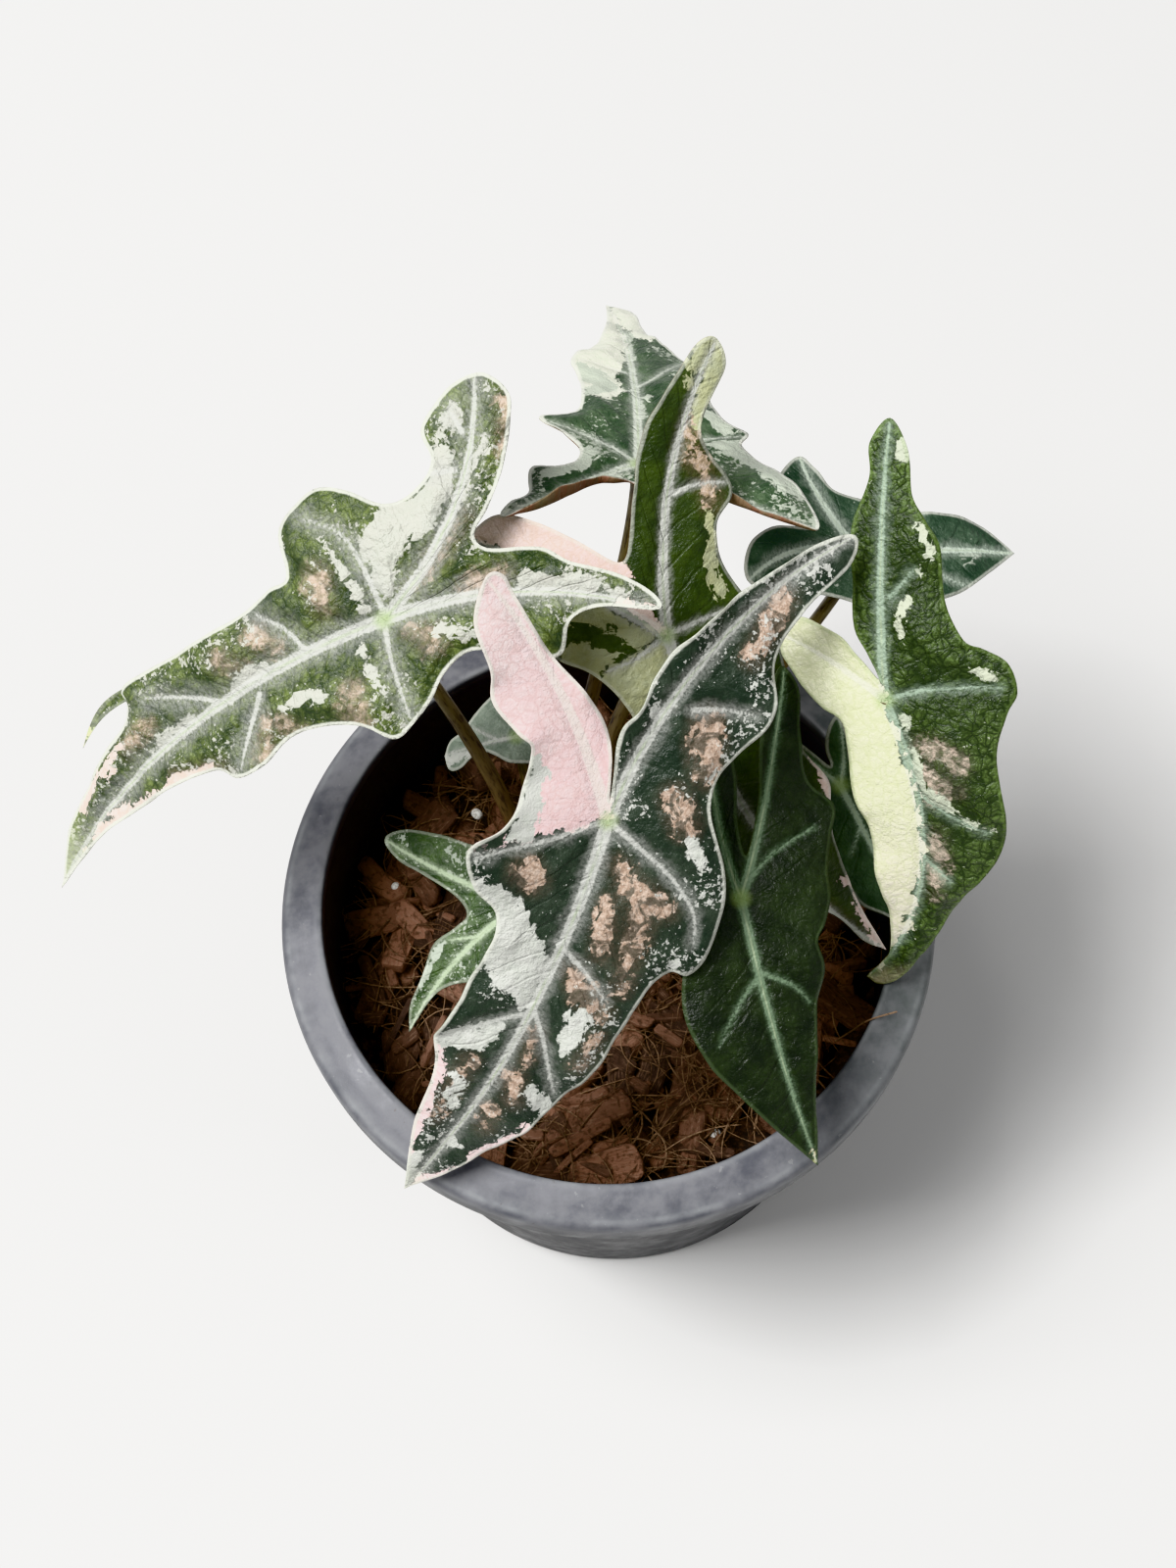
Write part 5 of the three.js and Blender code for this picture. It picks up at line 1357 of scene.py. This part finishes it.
class Graph:
    """Makes and joins the nodes of one tree. A value is either a socket to link or a constant."""

    def __init__(self, tree):
        self.tree = tree

    def feed(self, socket, value):
        if isinstance(value, bpy.types.NodeSocket):
            self.tree.links.new(value, socket)
        elif socket.type == "RGBA" and len(value) == 3:
            socket.default_value = (*value, 1.0)
        else:
            socket.default_value = value

    def add(self, kind, inputs=None, **settings):
        node = self.tree.nodes.new(kind)
        for key, value in settings.items():
            setattr(node, key, value)
        for key, value in (inputs or {}).items():
            self.feed(node.inputs[key], value)
        return node

    def maths(self, operation, *values):
        return self.add("ShaderNodeMath", dict(enumerate(values)), operation=operation).outputs[0]

    def times(self, value, factor):
        return self.maths("MULTIPLY", value, factor)

    def times_plus(self, value, factor, more):
        return self.maths("MULTIPLY_ADD", value, factor, more)

    def vector(self, operation, *values):
        return self.add("ShaderNodeVectorMath", dict(enumerate(values)), operation=operation).outputs[0]

    def step(self, value, low, high, bottom=0.0, top=1.0):
        inputs = {"Value": value, "From Min": low, "From Max": high, "To Min": bottom, "To Max": top}
        return self.add("ShaderNodeMapRange", inputs, interpolation_type="SMOOTHSTEP").outputs[0]

    def mix(self, factor, first, second):
        return self.add("ShaderNodeMix", {0: factor, 6: first, 7: second}, data_type="RGBA").outputs[2]

    def noise(self, vector, scale, detail=3.0, roughness=0.5, distortion=0.0):
        inputs = {"Vector": vector, "Scale": scale, "Detail": detail, "Roughness": roughness,
                  "Distortion": distortion}
        return self.add("ShaderNodeTexNoise", inputs).outputs["Fac"]

    def cells(self, vector, scale, feature="F1"):
        return self.add("ShaderNodeTexVoronoi", {"Vector": vector, "Scale": scale}, feature=feature).outputs

    def millimetres(self, upward=1):
        place = self.add("ShaderNodeTexCoord").outputs["Object"]
        return self.vector("MULTIPLY", place, (1 / MM, 1 / MM, upward / MM))

    def attribute(self, name):
        return self.add("ShaderNodeAttribute", attribute_name=name).outputs

    def parts(self, vector):
        return self.add("ShaderNodeSeparateXYZ", {0: vector}).outputs

    def group(self, tree, **inputs):
        node = self.add("ShaderNodeGroup", node_tree=tree)
        for key, value in inputs.items():
            self.feed(node.inputs[key.replace("_", " ")], value)
        return node.outputs


def effect(name, inputs, outputs, build):
    """A shader node group with named inputs and outputs, made once and filled by build. Place is a
    vector, and all the others are numbers."""
    tree = bpy.data.node_groups.get(name)
    if tree:
        return tree
    tree = bpy.data.node_groups.new(name, "ShaderNodeTree")
    for label in inputs:
        kind = "NodeSocketVector" if label == "Place" else "NodeSocketFloat"
        tree.interface.new_socket(label, in_out="INPUT", socket_type=kind)
    for label in outputs:
        tree.interface.new_socket(label, in_out="OUTPUT", socket_type="NodeSocketFloat")
    graph = Graph(tree)
    given = graph.add("NodeGroupInput").outputs
    results = build(graph, given)
    end = graph.add("NodeGroupOutput").inputs
    for label, value in results.items():
        graph.feed(end[label], value)
    return tree


def jagged_edge():
    """Mask of a patch from how deep a place lies in it, with steps of cell size and fine teeth."""
    def build(graph, given):
        place = given["Place"]
        bent = graph.maths("SUBTRACT", graph.noise(place, 0.16, 2), 0.5)
        stretched = graph.vector("MULTIPLY", place, (1, 0.7, 1))
        cell = graph.maths("SUBTRACT", graph.parts(graph.cells(stretched, 0.42)["Color"])[0], 0.5)
        small = graph.maths("SUBTRACT", graph.parts(graph.cells(place, 1.25)["Color"])[1], 0.5)
        teeth = graph.maths("SUBTRACT", graph.noise(place, 1.3, 4, 0.6), 0.5)
        offset = graph.times_plus(cell, 0.75, graph.times(bent, 1.6))
        offset = graph.times_plus(small, 0.4, offset)
        offset = graph.times_plus(teeth, 0.5, offset)
        value = graph.times_plus(offset, given["Ragged"], given["Depth"])
        low = graph.times(given["Soft"], -1)
        return {"Mask": graph.step(value, low, given["Soft"])}

    return effect("Jagged edge", ("Place", "Depth", "Ragged", "Soft"), ("Mask",), build)


def pale_flecks():
    """Small torn specks: high spots of a fine noise, more of them where a wide noise is high."""
    def build(graph, given):
        fine = graph.noise(given["Place"], given["Scale"], 3, 0.6, 0.2)
        cloud = graph.noise(given["Place"], 0.085, 2)
        ease = graph.times(graph.step(cloud, 0.34, 0.58), given["Density"])
        low = graph.times_plus(ease, -0.16, 0.75)
        high = graph.maths("ADD", low, 0.015)
        return {"Mask": graph.step(fine, low, high)}

    return effect("Pale flecks", ("Place", "Density", "Scale"), ("Mask",), build)


def vein_net():
    """The small veins between the side veins: the borders of cells of two sizes."""
    def build(graph, given):
        shift = graph.add("ShaderNodeTexNoise", {"Vector": given["Place"], "Scale": 0.35}).outputs["Color"]
        moved = graph.vector("MULTIPLY_ADD", shift, (3, 3, 0), given["Place"])
        wide = graph.cells(moved, 0.42, "DISTANCE_TO_EDGE")["Distance"]
        fine = graph.cells(moved, 1.05, "DISTANCE_TO_EDGE")["Distance"]
        thin = graph.times(graph.step(fine, 0.2, 0.01), 0.6)
        lines = graph.maths("MAXIMUM", graph.step(wide, 0.16, 0.01), thin)
        slight = graph.times(graph.step(fine, 0, 0.4), 0.4)
        swell = graph.maths("ADD", graph.step(wide, 0, 0.45), slight)
        return {"Lines": lines, "Swell": swell}

    return effect("Small vein net", ("Place",), ("Lines", "Swell"), build)


def feathered_vein():
    """Masks of a vein: its bright middle band, the grey bloom that runs out sideways in streaks, and a
    green line along its centre."""
    def build(graph, given):
        stretched = graph.vector("MULTIPLY", given["Place"], (1, 1.6, 1))
        feather = graph.noise(stretched, 1.1, 4, 0.65)
        wide = graph.noise(given["Place"], 0.3)
        reach = graph.times(graph.maths("SUBTRACT", feather, 0.5), 0.9)
        inside = graph.maths("SUBTRACT", reach, given["Beyond"])
        band = graph.step(inside, -0.3, 0.2)
        spread = graph.times(given["Bloom"], graph.step(wide, 0.25, 0.7, 0.45, 1.3))
        faded = graph.maths("DIVIDE", given["Beyond"], graph.maths("MAXIMUM", spread, 0.05))
        streaks = graph.step(feather, 0.34, 0.6, 0.3)
        bloom = graph.times(graph.step(faded, 1, -0.1), streaks)
        along = graph.step(graph.noise(given["Place"], 0.13, 2), 0.35, 0.6, 0.1, 0.55)
        middle = graph.times(graph.step(given["Ratio"], 0.42, 0.12), along)
        return {"Band": band, "Bloom": bloom, "Middle": middle}

    inputs = ("Place", "Beyond", "Ratio", "Bloom")
    return effect("Feathered vein", inputs, ("Band", "Bloom", "Middle"), build)


def mottle():
    """Clouds of two sizes, as one value from 0 to 1."""
    def build(graph, given):
        wide = graph.noise(given["Place"], graph.times(given["Scale"], 0.3), 2)
        fine = graph.noise(given["Place"], given["Scale"], 5, 0.62)
        both = graph.times_plus(wide, 0.5, graph.times(fine, 0.5))
        return {"Value": graph.step(both, 0.36, 0.64)}

    return effect("Mottle", ("Place", "Scale"), ("Value",), build)


def new_material(name):
    """An empty material's graph and its Principled BSDF."""
    material = bpy.data.materials.new(name)
    material.use_nodes = True
    tree = material.node_tree
    return material, Graph(tree), tree.nodes["Principled BSDF"].inputs


def dress(graph, shader, colour, roughness, height, strength, distance):
    """Feeds a surface's colour, roughness and the bump of a height, whose distance is in metres."""
    graph.feed(shader["Base Color"], colour)
    graph.feed(shader["Roughness"], roughness)
    inputs = {"Height": height, "Strength": strength, "Distance": distance}
    graph.feed(shader["Normal"], graph.add("ShaderNodeBump", inputs).outputs[0])


def blade_material(name, look, settings):
    """The blade's colours in layers: mottled green, tan with a haze of painted sheen round it, blush, silver,
    dark islands, flecks, veins, hub and margin, with the lower face plain."""
    material, graph, shader = new_material(name)
    place = graph.attribute("plane")["Vector"]
    beyond, ratio, margin = graph.parts(graph.attribute("lines")["Vector"])
    blush_depth, silver_depth, dark_depth = graph.parts(graph.attribute("pale")["Vector"])
    tan_depth, ladder, ring = graph.parts(graph.attribute("spots")["Vector"])
    under = graph.attribute("under")["Fac"]
    centre = graph.add("ShaderNodeVectorMath", {0: place}, operation="LENGTH").outputs["Value"]
    net = graph.group(vein_net(), Place=place)
    cloud = graph.group(mottle(), Place=place, Scale=0.42)["Value"]
    blotch = graph.group(mottle(), Place=place, Scale=0.24)["Value"]
    grain = graph.noise(place, 2.4, 3, 0.6)

    def jagged(depth, ragged, soft):
        return graph.group(jagged_edge(), Place=place, Depth=depth, Ragged=ragged, Soft=soft)["Mask"]

    blush = jagged(blush_depth, 2.4, 0.22)
    green_part = graph.maths("SUBTRACT", 1, blush)
    jitter = graph.times(graph.noise(place, 0.1, 2), 0.7)
    side_vein = graph.maths("PINGPONG", graph.maths("ADD", ladder, jitter), 0.5)
    side_line = graph.times(graph.step(side_vein, 0.09, 0.01), graph.step(ring, 0.98, 0.6))
    side_line = graph.times(side_line, graph.times_plus(blush, -0.65, 1))
    lines = graph.maths("MAXIMUM", net["Lines"], graph.times(side_line, 0.8))
    netted = graph.times(graph.times_plus(lines, -0.9, 1), graph.step(blotch, 0, 1, 0.45))
    clouded = graph.times(blotch, 1 - look["net"])
    light = graph.maths("ADD", graph.times(netted, look["net"]), clouded)
    outer = graph.step(margin, 9, 1, 1 - look["outer"])
    light = graph.times(light, outer)
    light = graph.times(light, graph.step(grain, 0.15, 0.6, 0.75))
    base = graph.mix(light, look["green"], look["light"])
    base = graph.mix(graph.times(lines, 0.3), base, look["green"])

    soft = look["tan_soft"]
    tan = jagged(tan_depth, 3.2, soft)
    blots = graph.noise(place, 0.19, 5, 0.62, 0.9)
    speckle = graph.noise(place, 0.8, 5, 0.75)
    # Painted sheen: a faint haze of the tan's darker tone round each tan patch, broken into specks
    sheen_specks = graph.step(speckle, 0.3, 0.65, 0.1, 0.45)
    sheen_haze = graph.times(graph.step(tan_depth, -3.4, 0.4), sheen_specks)
    colour = graph.mix(sheen_haze, base, tuple(0.34 * part for part in look["tan"]))
    glint = graph.mix(graph.step(speckle, 0.42, 0.62), look["tan"], TAN_GLINT)
    tan = graph.times(tan, graph.step(blots, 0.45 - 0.03 * soft, 0.49 + 0.06 * soft, 0.15, 0.92))
    colour = graph.mix(graph.times(tan, graph.step(speckle, 0.3, 0.5, 0.55)), colour, glint)

    tint = graph.mix(graph.step(centre, 12, 62), look["blush"], look.get("blush_far", look["blush"]))
    tint = graph.mix(graph.times(cloud, 0.2), tint, PALE_CLOUD)
    tint = graph.mix(graph.times(lines, 0.45), tint, look["blush_line"])
    colour = graph.mix(blush, colour, tint)

    silver = jagged(silver_depth, 2.2, 0.2)
    sheen = graph.mix(graph.times(cloud, 0.3), look["silver"], SAGE)
    colour = graph.mix(silver, colour, sheen)

    dark = jagged(dark_depth, 2.4, 0.2)
    colour = graph.mix(dark, colour, base)

    amount = look["flecks"] * settings.fleck_amount
    density = graph.times(graph.step(margin, 14, 3, 0.45), amount)
    large = graph.group(pale_flecks(), Place=place, Density=density, Scale=0.5)["Mask"]
    small = graph.group(pale_flecks(), Place=place, Density=density, Scale=1.1)["Mask"]
    fleck = graph.maths("MAXIMUM", large, graph.times(small, 0.8))
    fleck = graph.times(graph.times(fleck, green_part), 0.85)
    colour = graph.mix(fleck, colour, look["silver"])
    if "tip_tone" in look:
        tone, start, end = look["tip_tone"]
        tip = graph.step(graph.parts(place)[1], start, end)
        tip = graph.times(tip, graph.step(cloud, 0, 1, 0.95, 0.6))
        colour = graph.mix(tip, colour, tone)

    strength = graph.times_plus(blush, -0.88, 1)
    vein = graph.group(feathered_vein(), Place=place, Beyond=beyond, Ratio=ratio, Bloom=look["bloom"])
    bloom = graph.times(graph.times(vein["Bloom"], strength), 0.62)
    colour = graph.mix(bloom, colour, tuple(0.7 * part for part in look["vein"]))
    band = graph.times(graph.times(vein["Band"], strength), 0.82)
    colour = graph.mix(band, colour, look["vein"])
    colour = graph.mix(graph.times(vein["Middle"], strength), colour, VEIN_GREEN)
    pale_vein = graph.times(graph.times(vein["Band"], blush), 0.45)
    colour = graph.mix(pale_vein, colour, PALE_CLOUD)

    hub = graph.times(graph.step(centre, 3, 0.6), 0.6)
    colour = graph.mix(hub, colour, HUB_GREEN)
    rim = graph.times_plus(graph.noise(place, 0.4, 2), -0.35, margin)
    rim = graph.times(graph.step(rim, 0.75, 0.3), look["rim"])
    colour = graph.mix(rim, colour, look["rim_tone"])

    lower = graph.mix(graph.times(cloud, 0.6), look["under"], UNDER_GREEN)
    lower = graph.mix(graph.times(vein["Band"], 0.5), lower, UNDER_VEIN)
    lower = graph.mix(graph.times(blush, 0.6), lower, look["blush"])
    colour = graph.mix(under, colour, lower)

    gloss = graph.times_plus(grain, 0.16, settings.leaf_roughness - 0.08)
    gloss = graph.times_plus(graph.maths("MAXIMUM", band, silver), 0.08, gloss)
    gloss = graph.times_plus(under, 0.2, gloss)
    swelling = 0.25 + 0.35 * look["net"]
    puffed = graph.times_plus(blush, -0.7 * swelling, swelling)
    relief = graph.times(net["Swell"], puffed)
    relief = graph.times_plus(grain, 0.5, relief)
    relief = graph.times_plus(side_line, -0.35, relief)
    crumple = graph.times_plus(blush, -1, 1.4)
    relief = graph.times_plus(graph.noise(place, 0.55), crumple, relief)
    dress(graph, shader, colour, gloss, relief, 0.8, 0.0005)
    shader["IOR"].default_value = 1.4
    return material


def stalk_material(settings):
    """Olive brown skin with darker lengthwise flecks, greener towards the blade."""
    material, graph, shader = new_material("stalk skin")
    skin = graph.attribute("skin")["Vector"]
    way = graph.attribute("way")["Fac"]
    stretched = graph.vector("MULTIPLY", skin, (1, 1, 0.22))
    streaks = graph.noise(stretched, 1.1, 5, 0.65)
    base = graph.mix(graph.step(way, 0.15, 1), settings.stalk_low, settings.stalk_high)
    colour = graph.mix(graph.step(streaks, 0.46, 0.66), base, STALK_STREAK)
    pale = graph.group(pale_flecks(), Place=stretched, Density=0.5, Scale=0.9)["Mask"]
    colour = graph.mix(graph.times(pale, 0.4), colour, STALK_FLECK)
    dress(graph, shader, colour, graph.times_plus(streaks, 0.2, 0.34), streaks, 0.4, 0.0002)
    return material


def grained_material(name, noise, edges, tones, roughness, bump, upward=1):
    """One noise for all of a dry surface: it goes from the first tone to the second between the edges,
    and is rougher and higher where the noise is high. Upward makes its grain that much flatter."""
    material, graph, shader = new_material(name)
    grain = graph.noise(graph.millimetres(upward), *noise)
    colour = graph.mix(graph.step(grain, *edges), *tones)
    dress(graph, shader, colour, graph.times_plus(grain, 0.2, roughness), grain, *bump)
    return material


def crown_material():
    """Dry brown corm with paler flakes."""
    return grained_material("corm skin", (0.35, 5, 0.65), (0.35, 0.68), (CORM_DARK, CORM_FLAKE), 0.7,
                            (0.7, 0.0006), upward=3)


def pot_material(settings):
    """Thin moulded plastic: slate grey, with painted shade darkening the walls below the rim, a lighter tint
    painted on the rim's right side for how the light falls there, clouds of dust and painted sheen on the
    rim, edges lighter from wear and painted highlight, and specks of dried water marks."""
    material, graph, shader = new_material("pot plastic")
    place = graph.millimetres()
    wear_and_highlight = graph.attribute("wear_and_highlight")["Fac"]
    dust_and_sheen_cloud = graph.group(mottle(), Place=place, Scale=0.26)["Value"]
    fine = graph.noise(place, 1.6, 4, 0.65)
    # Painted light: the rim turns to a lighter tint towards its right side, for how the light falls there
    right = graph.step(graph.parts(place)[0], 20, 75)
    rim = graph.mix(right, settings.pot_colour, POT_RIGHT_PAINTED_LIGHT)
    # Painted shade: below the rim's skirt the plastic turns to a dark tone for the shade on the walls, and
    # dust keeps to the rim above
    unshaded_dusty_rim = graph.step(graph.parts(place)[2], POT_HEIGHT - RIM_SKIRT_DEPTH, POT_HEIGHT)
    base = graph.mix(unshaded_dusty_rim, POT_WALL_SHADE, rim)
    # Pale clouds on the rim: partly dust, partly painted sheen
    dust_and_sheen = graph.times(graph.times(dust_and_sheen_cloud, unshaded_dusty_rim), 0.55)
    colour = graph.mix(dust_and_sheen, base, POT_DUST_AND_SHEEN)
    # The edges go lighter: partly rubbed wear, partly painted highlight along the rim's edges
    rubbed_and_highlight = graph.times(wear_and_highlight, graph.step(graph.noise(place, 0.12, 4), 0.3, 0.75, 0.1, 0.6))
    colour = graph.mix(rubbed_and_highlight, colour, POT_RUBBED_HIGHLIGHT)
    marks = graph.group(pale_flecks(), Place=place, Density=0.4, Scale=0.5)["Mask"]
    colour = graph.mix(graph.times(marks, 0.16), colour, POT_MARK)
    soil = graph.step(graph.noise(place, 0.35, 5, 0.7), 0.66, 0.74)
    colour = graph.mix(graph.times(soil, 0.6), colour, POT_SOIL)
    rough = graph.times_plus(dust_and_sheen_cloud, 0.22, settings.pot_roughness)
    dress(graph, shader, colour, graph.times_plus(fine, 0.1, rough), fine, 0.25, 0.0001)
    return material


def husk_material(name, dark, light, fibre, roughness):
    """Bark and husk: long fibres along each piece's own grain, with a tone that changes from piece to
    piece."""
    material, graph, shader = new_material(name)
    grain = graph.attribute("grain")["Vector"]
    tone = graph.attribute("tone")["Fac"]
    long = graph.vector("MULTIPLY", grain, (0.1, 1, 1))
    threads = graph.noise(long, 1.6, 6, 0.75)
    crumb = graph.noise(grain, 0.7, 4, 0.6)
    base = graph.mix(tone, dark, light)
    colour = graph.mix(graph.step(threads, 0.5, 0.72), base, fibre)
    colour = graph.mix(graph.step(crumb, 0.48, 0.66, 0, 0.65), colour, HUSK_PIT)
    height = graph.maths("ADD", threads, graph.times(crumb, 0.6))
    dress(graph, shader, colour, graph.times_plus(threads, 0.25, roughness), height, 1, 0.0011)
    return material


def bed_material():
    """Dark, damp crumbs below the chips, kept darker still as painted shade in the gaps between them."""
    return grained_material("mix bed", (0.6, 6, 0.7), (0.42, 0.72), (BED_DARK, BED_LIGHT), 0.75, (1, 0.0012))


def perlite_material():
    """White, porous grains."""
    return grained_material("perlite", (1.6, 4, 0.6), (0.35, 0.6), (GRAIN_PORE, GRAIN_WHITE), 0.7,
                            (0.8, 0.0004))


def floor_material(settings):
    """Plain pale studio floor with a faint variation."""
    material, graph, shader = new_material("studio floor")
    place = graph.add("ShaderNodeTexCoord").outputs["Object"]
    cloud = graph.noise(place, 3)
    colour = settings.floor_colour
    darker = tuple(0.96 * part for part in colour)
    graph.feed(shader["Base Color"], graph.mix(cloud, darker, colour))
    shader["Roughness"].default_value = 0.7
    return material


# Settings, operators and panel

def colour_property(name, description, default):
    """A setting for a linear colour."""
    return bpy.props.FloatVectorProperty(
        name=name, description=description, default=default, size=3, subtype="COLOR", min=0, max=1)


def share_property(name, description, default, top=1):
    """A setting for a share up to the top."""
    return bpy.props.FloatProperty(
        name=name, description=description, default=default, min=0, max=top, subtype="FACTOR")


def count_property(name, description, default, top):
    """A setting for how many there are."""
    return bpy.props.IntProperty(name=name, description=description, default=default, min=0, max=top)


class AlocasiaSettings(bpy.types.PropertyGroup):
    """Sizes and colours that a user would change."""

    pot_colour: colour_property("Pot colour", "Plastic of the pot", (0.070, 0.072, 0.086))
    pot_roughness: share_property("Pot roughness", "Roughness of the clean plastic", 0.38)
    leaf_roughness: share_property("Leaf roughness", "Roughness of the blades' upper face", 0.37)
    fleck_amount: share_property("Fleck amount", "How many of the pale flecks show", 1.0, 2)
    stalk_low: colour_property("Stalk foot colour", "Skin of the stalks near the mix", (0.105, 0.052, 0.028))
    stalk_high: colour_property("Stalk top colour", "Skin of the stalks near the blade", (0.16, 0.13, 0.055))
    husk_dark: colour_property("Dark husk colour", "Damp chips", (0.046, 0.027, 0.019))
    husk_light: colour_property("Light husk colour", "Dry chips", (0.33, 0.175, 0.115))
    large_chips: count_property("Large chips", "Number of large husk chips", 150, 300)
    small_chips: count_property("Small chips", "Number of small husk chips", 240, 500)
    fibres: count_property("Coir fibres", "Number of loose fibres", 1100, 2000)
    floor_colour: colour_property("Floor colour", "Studio floor", (0.60, 0.595, 0.585))
    key_power: bpy.props.FloatProperty(
        name="Key light", description="Power of the soft light at the left", default=112, min=0,
        subtype="POWER", unit="POWER")
    key_size: bpy.props.FloatProperty(
        name="Key light size", description="Side of the soft light at the left", default=1.2, min=0.01,
        subtype="DISTANCE", unit="LENGTH")


class ALOCASIA_OT_pot(bpy.types.Operator):
    """Make the nursery pot"""

    bl_idname = "alocasia.pot"
    bl_label = "Pot"

    def execute(self, context):
        make_piece("nursery_pot", pot_mesh(), pot_material(context.scene.alocasia), "pot", "pot")
        return {"FINISHED"}


class ALOCASIA_OT_mix(bpy.types.Operator):
    """Make the potting mix: bed, husk chips, coir fibres and white grains"""

    bl_idname = "alocasia.mix"
    bl_label = "Potting mix"

    def execute(self, context):
        settings = context.scene.alocasia
        random = np.random.default_rng(MIX_SEED)
        make_piece("mix_bed", bed_mesh(), bed_material(), "potting_mix", "potting_mix")
        chips = stacked([
            husk_mesh(random, settings.small_chips, *SMALL_CHIPS),
            husk_mesh(random, settings.large_chips, *LARGE_CHIPS),
        ])
        husk = husk_material("husk", settings.husk_dark, settings.husk_light, HUSK_THREAD, 0.55)
        make_piece("husk_chips", chips, husk, "potting_mix")
        coir = husk_material("coir", COIR_DARK, COIR_LIGHT, COIR_THREAD, 0.7)
        fibres = stacked([fibres_mesh(random, settings.fibres), stray_fibre_mesh()])
        make_piece("coir_fibres", fibres, coir, "potting_mix")
        centres = np.array(WHITE_GRAINS, float)
        sizes = np.tile([GRAIN_HALF_SIZES], (len(centres), 1))
        grains = chips_mesh(random, centres, sizes, *GRAIN_FORM)
        make_piece("white_grains", grains, perlite_material(), "potting_mix")
        return {"FINISHED"}


class ALOCASIA_OT_crown(bpy.types.Operator):
    """Make the corm at the foot of the stalks"""

    bl_idname = "alocasia.crown"
    bl_label = "Crown"

    def execute(self, context):
        make_piece("corm", crown_mesh(), crown_material(), "crown", "crown")
        return {"FINISHED"}


class ALOCASIA_OT_stalks(bpy.types.Operator):
    """Make the stalk of every leaf"""

    bl_idname = "alocasia.stalks"
    bl_label = "Stalks"

    def execute(self, context):
        material = stalk_material(context.scene.alocasia)
        for name, leaf in LEAVES.items():
            slot = f"stalk_{name}"
            make_piece(f"petiole_{name}", stalk_mesh(leaf), material, slot, slot)
        return {"FINISHED"}


class ALOCASIA_OT_blades(bpy.types.Operator):
    """Make the blade of every leaf"""

    bl_idname = "alocasia.blades"
    bl_label = "Blades"

    def execute(self, context):
        settings = context.scene.alocasia
        for name, leaf in LEAVES.items():
            look = {**PLAIN_LOOK, **LOOKS[name]}
            slot = f"blade_{name}"
            material = blade_material(slot.replace("_", " "), look, settings)
            make_piece(f"leaf_{name}", blade_mesh(leaf, look), material, slot, slot)
            if "spur" in leaf:
                look = {**look, "blush": SPUR_LIME, "rim": 0.2}
                material = blade_material("blade spur", look, settings)
                make_piece(f"spur_{name}", spur_mesh(leaf), material, slot)
        return {"FINISHED"}


class ALOCASIA_OT_stage(bpy.types.Operator):
    """Make the floor, the lights and the camera"""

    bl_idname = "alocasia.stage"
    bl_label = "Stage"

    def execute(self, context):
        settings = context.scene.alocasia
        scene = context.scene
        mesh = bpy.data.meshes.new("studio_floor")
        circle = around_axis(FLOOR_RADIUS, full_turn(FLOOR_SIDES))
        mesh.from_pydata(circle.tolist(), [], [list(range(FLOOR_SIDES))])
        mesh.materials.append(floor_material(settings))
        floor = bpy.data.objects.new("studio_floor", mesh)
        scene.collection.objects.link(floor)

        for name, place, power, size in (
                ("key", KEY_PLACE, settings.key_power, settings.key_size),
                ("fill", FILL_PLACE, settings.key_power * FILL_SHARE, settings.key_size)):
            light = bpy.data.lights.new(name, "AREA")
            light.energy = power
            light.size = size
            lamp = bpy.data.objects.new(name, light)
            lamp.location = place
            aim = Vector(AIM) - lamp.location
            lamp.rotation_euler = aim.to_track_quat("-Z", "Y").to_euler()
            scene.collection.objects.link(lamp)

        world = bpy.data.worlds.new("studio")
        world.use_nodes = True
        background = world.node_tree.nodes["Background"].inputs
        background["Color"].default_value = SKY
        background["Strength"].default_value = WORLD_STRENGTH
        scene.world = world

        camera = bpy.data.cameras.new("camera")
        camera.lens = CAMERA_LENS
        camera.sensor_width = CAMERA_SENSOR
        camera.clip_end = 40
        pitch, yaw, roll = (math.radians(angle) for angle in (CAMERA_PITCH, CAMERA_YAW, CAMERA_ROLL))
        forward = Vector((math.sin(yaw) * math.cos(pitch), math.cos(yaw) * math.cos(pitch), -math.sin(pitch)))
        level = forward.cross(Vector((0, 0, 1))).normalized()
        upright = level.cross(forward)
        right = math.cos(roll) * level + math.sin(roll) * upright
        up = math.cos(roll) * upright - math.sin(roll) * level
        viewer = bpy.data.objects.new("camera", camera)
        turned = Matrix((right, up, -forward)).transposed().to_4x4()
        viewer.matrix_world = Matrix.Translation(Vector(CAMERA_PLACE) * MM) @ turned
        scene.collection.objects.link(viewer)
        scene.camera = viewer
        return {"FINISHED"}


class ALOCASIA_PT_panel(bpy.types.Panel):
    """Buttons for the plant's pieces, with their sizes and colours"""

    bl_idname = "ALOCASIA_PT_panel"
    bl_label = "Potted alocasia"
    bl_space_type = "VIEW_3D"
    bl_region_type = "UI"
    bl_category = "Alocasia"

    def draw(self, context):
        settings = context.scene.alocasia
        for name in settings.__annotations__:
            self.layout.prop(settings, name)
        for operator in OPERATORS:
            self.layout.operator(operator.bl_idname)


OPERATORS = (ALOCASIA_OT_pot, ALOCASIA_OT_mix, ALOCASIA_OT_crown, ALOCASIA_OT_stalks, ALOCASIA_OT_blades,
             ALOCASIA_OT_stage)
CLASSES = (AlocasiaSettings, *OPERATORS, ALOCASIA_PT_panel)


def register():
    for kind in CLASSES:
        bpy.utils.register_class(kind)
    bpy.types.Scene.alocasia = bpy.props.PointerProperty(type=AlocasiaSettings)


def unregister():
    del bpy.types.Scene.alocasia
    for kind in reversed(CLASSES):
        bpy.utils.unregister_class(kind)


def main():
    register()
    bpy.ops.alocasia.pot()
    bpy.ops.alocasia.mix()
    bpy.ops.alocasia.crown()
    bpy.ops.alocasia.stalks()
    bpy.ops.alocasia.blades()
    bpy.ops.alocasia.stage()
    bpy.context.scene.view_settings.view_transform = "Khronos PBR Neutral"


if __name__ == "__main__":
    main()
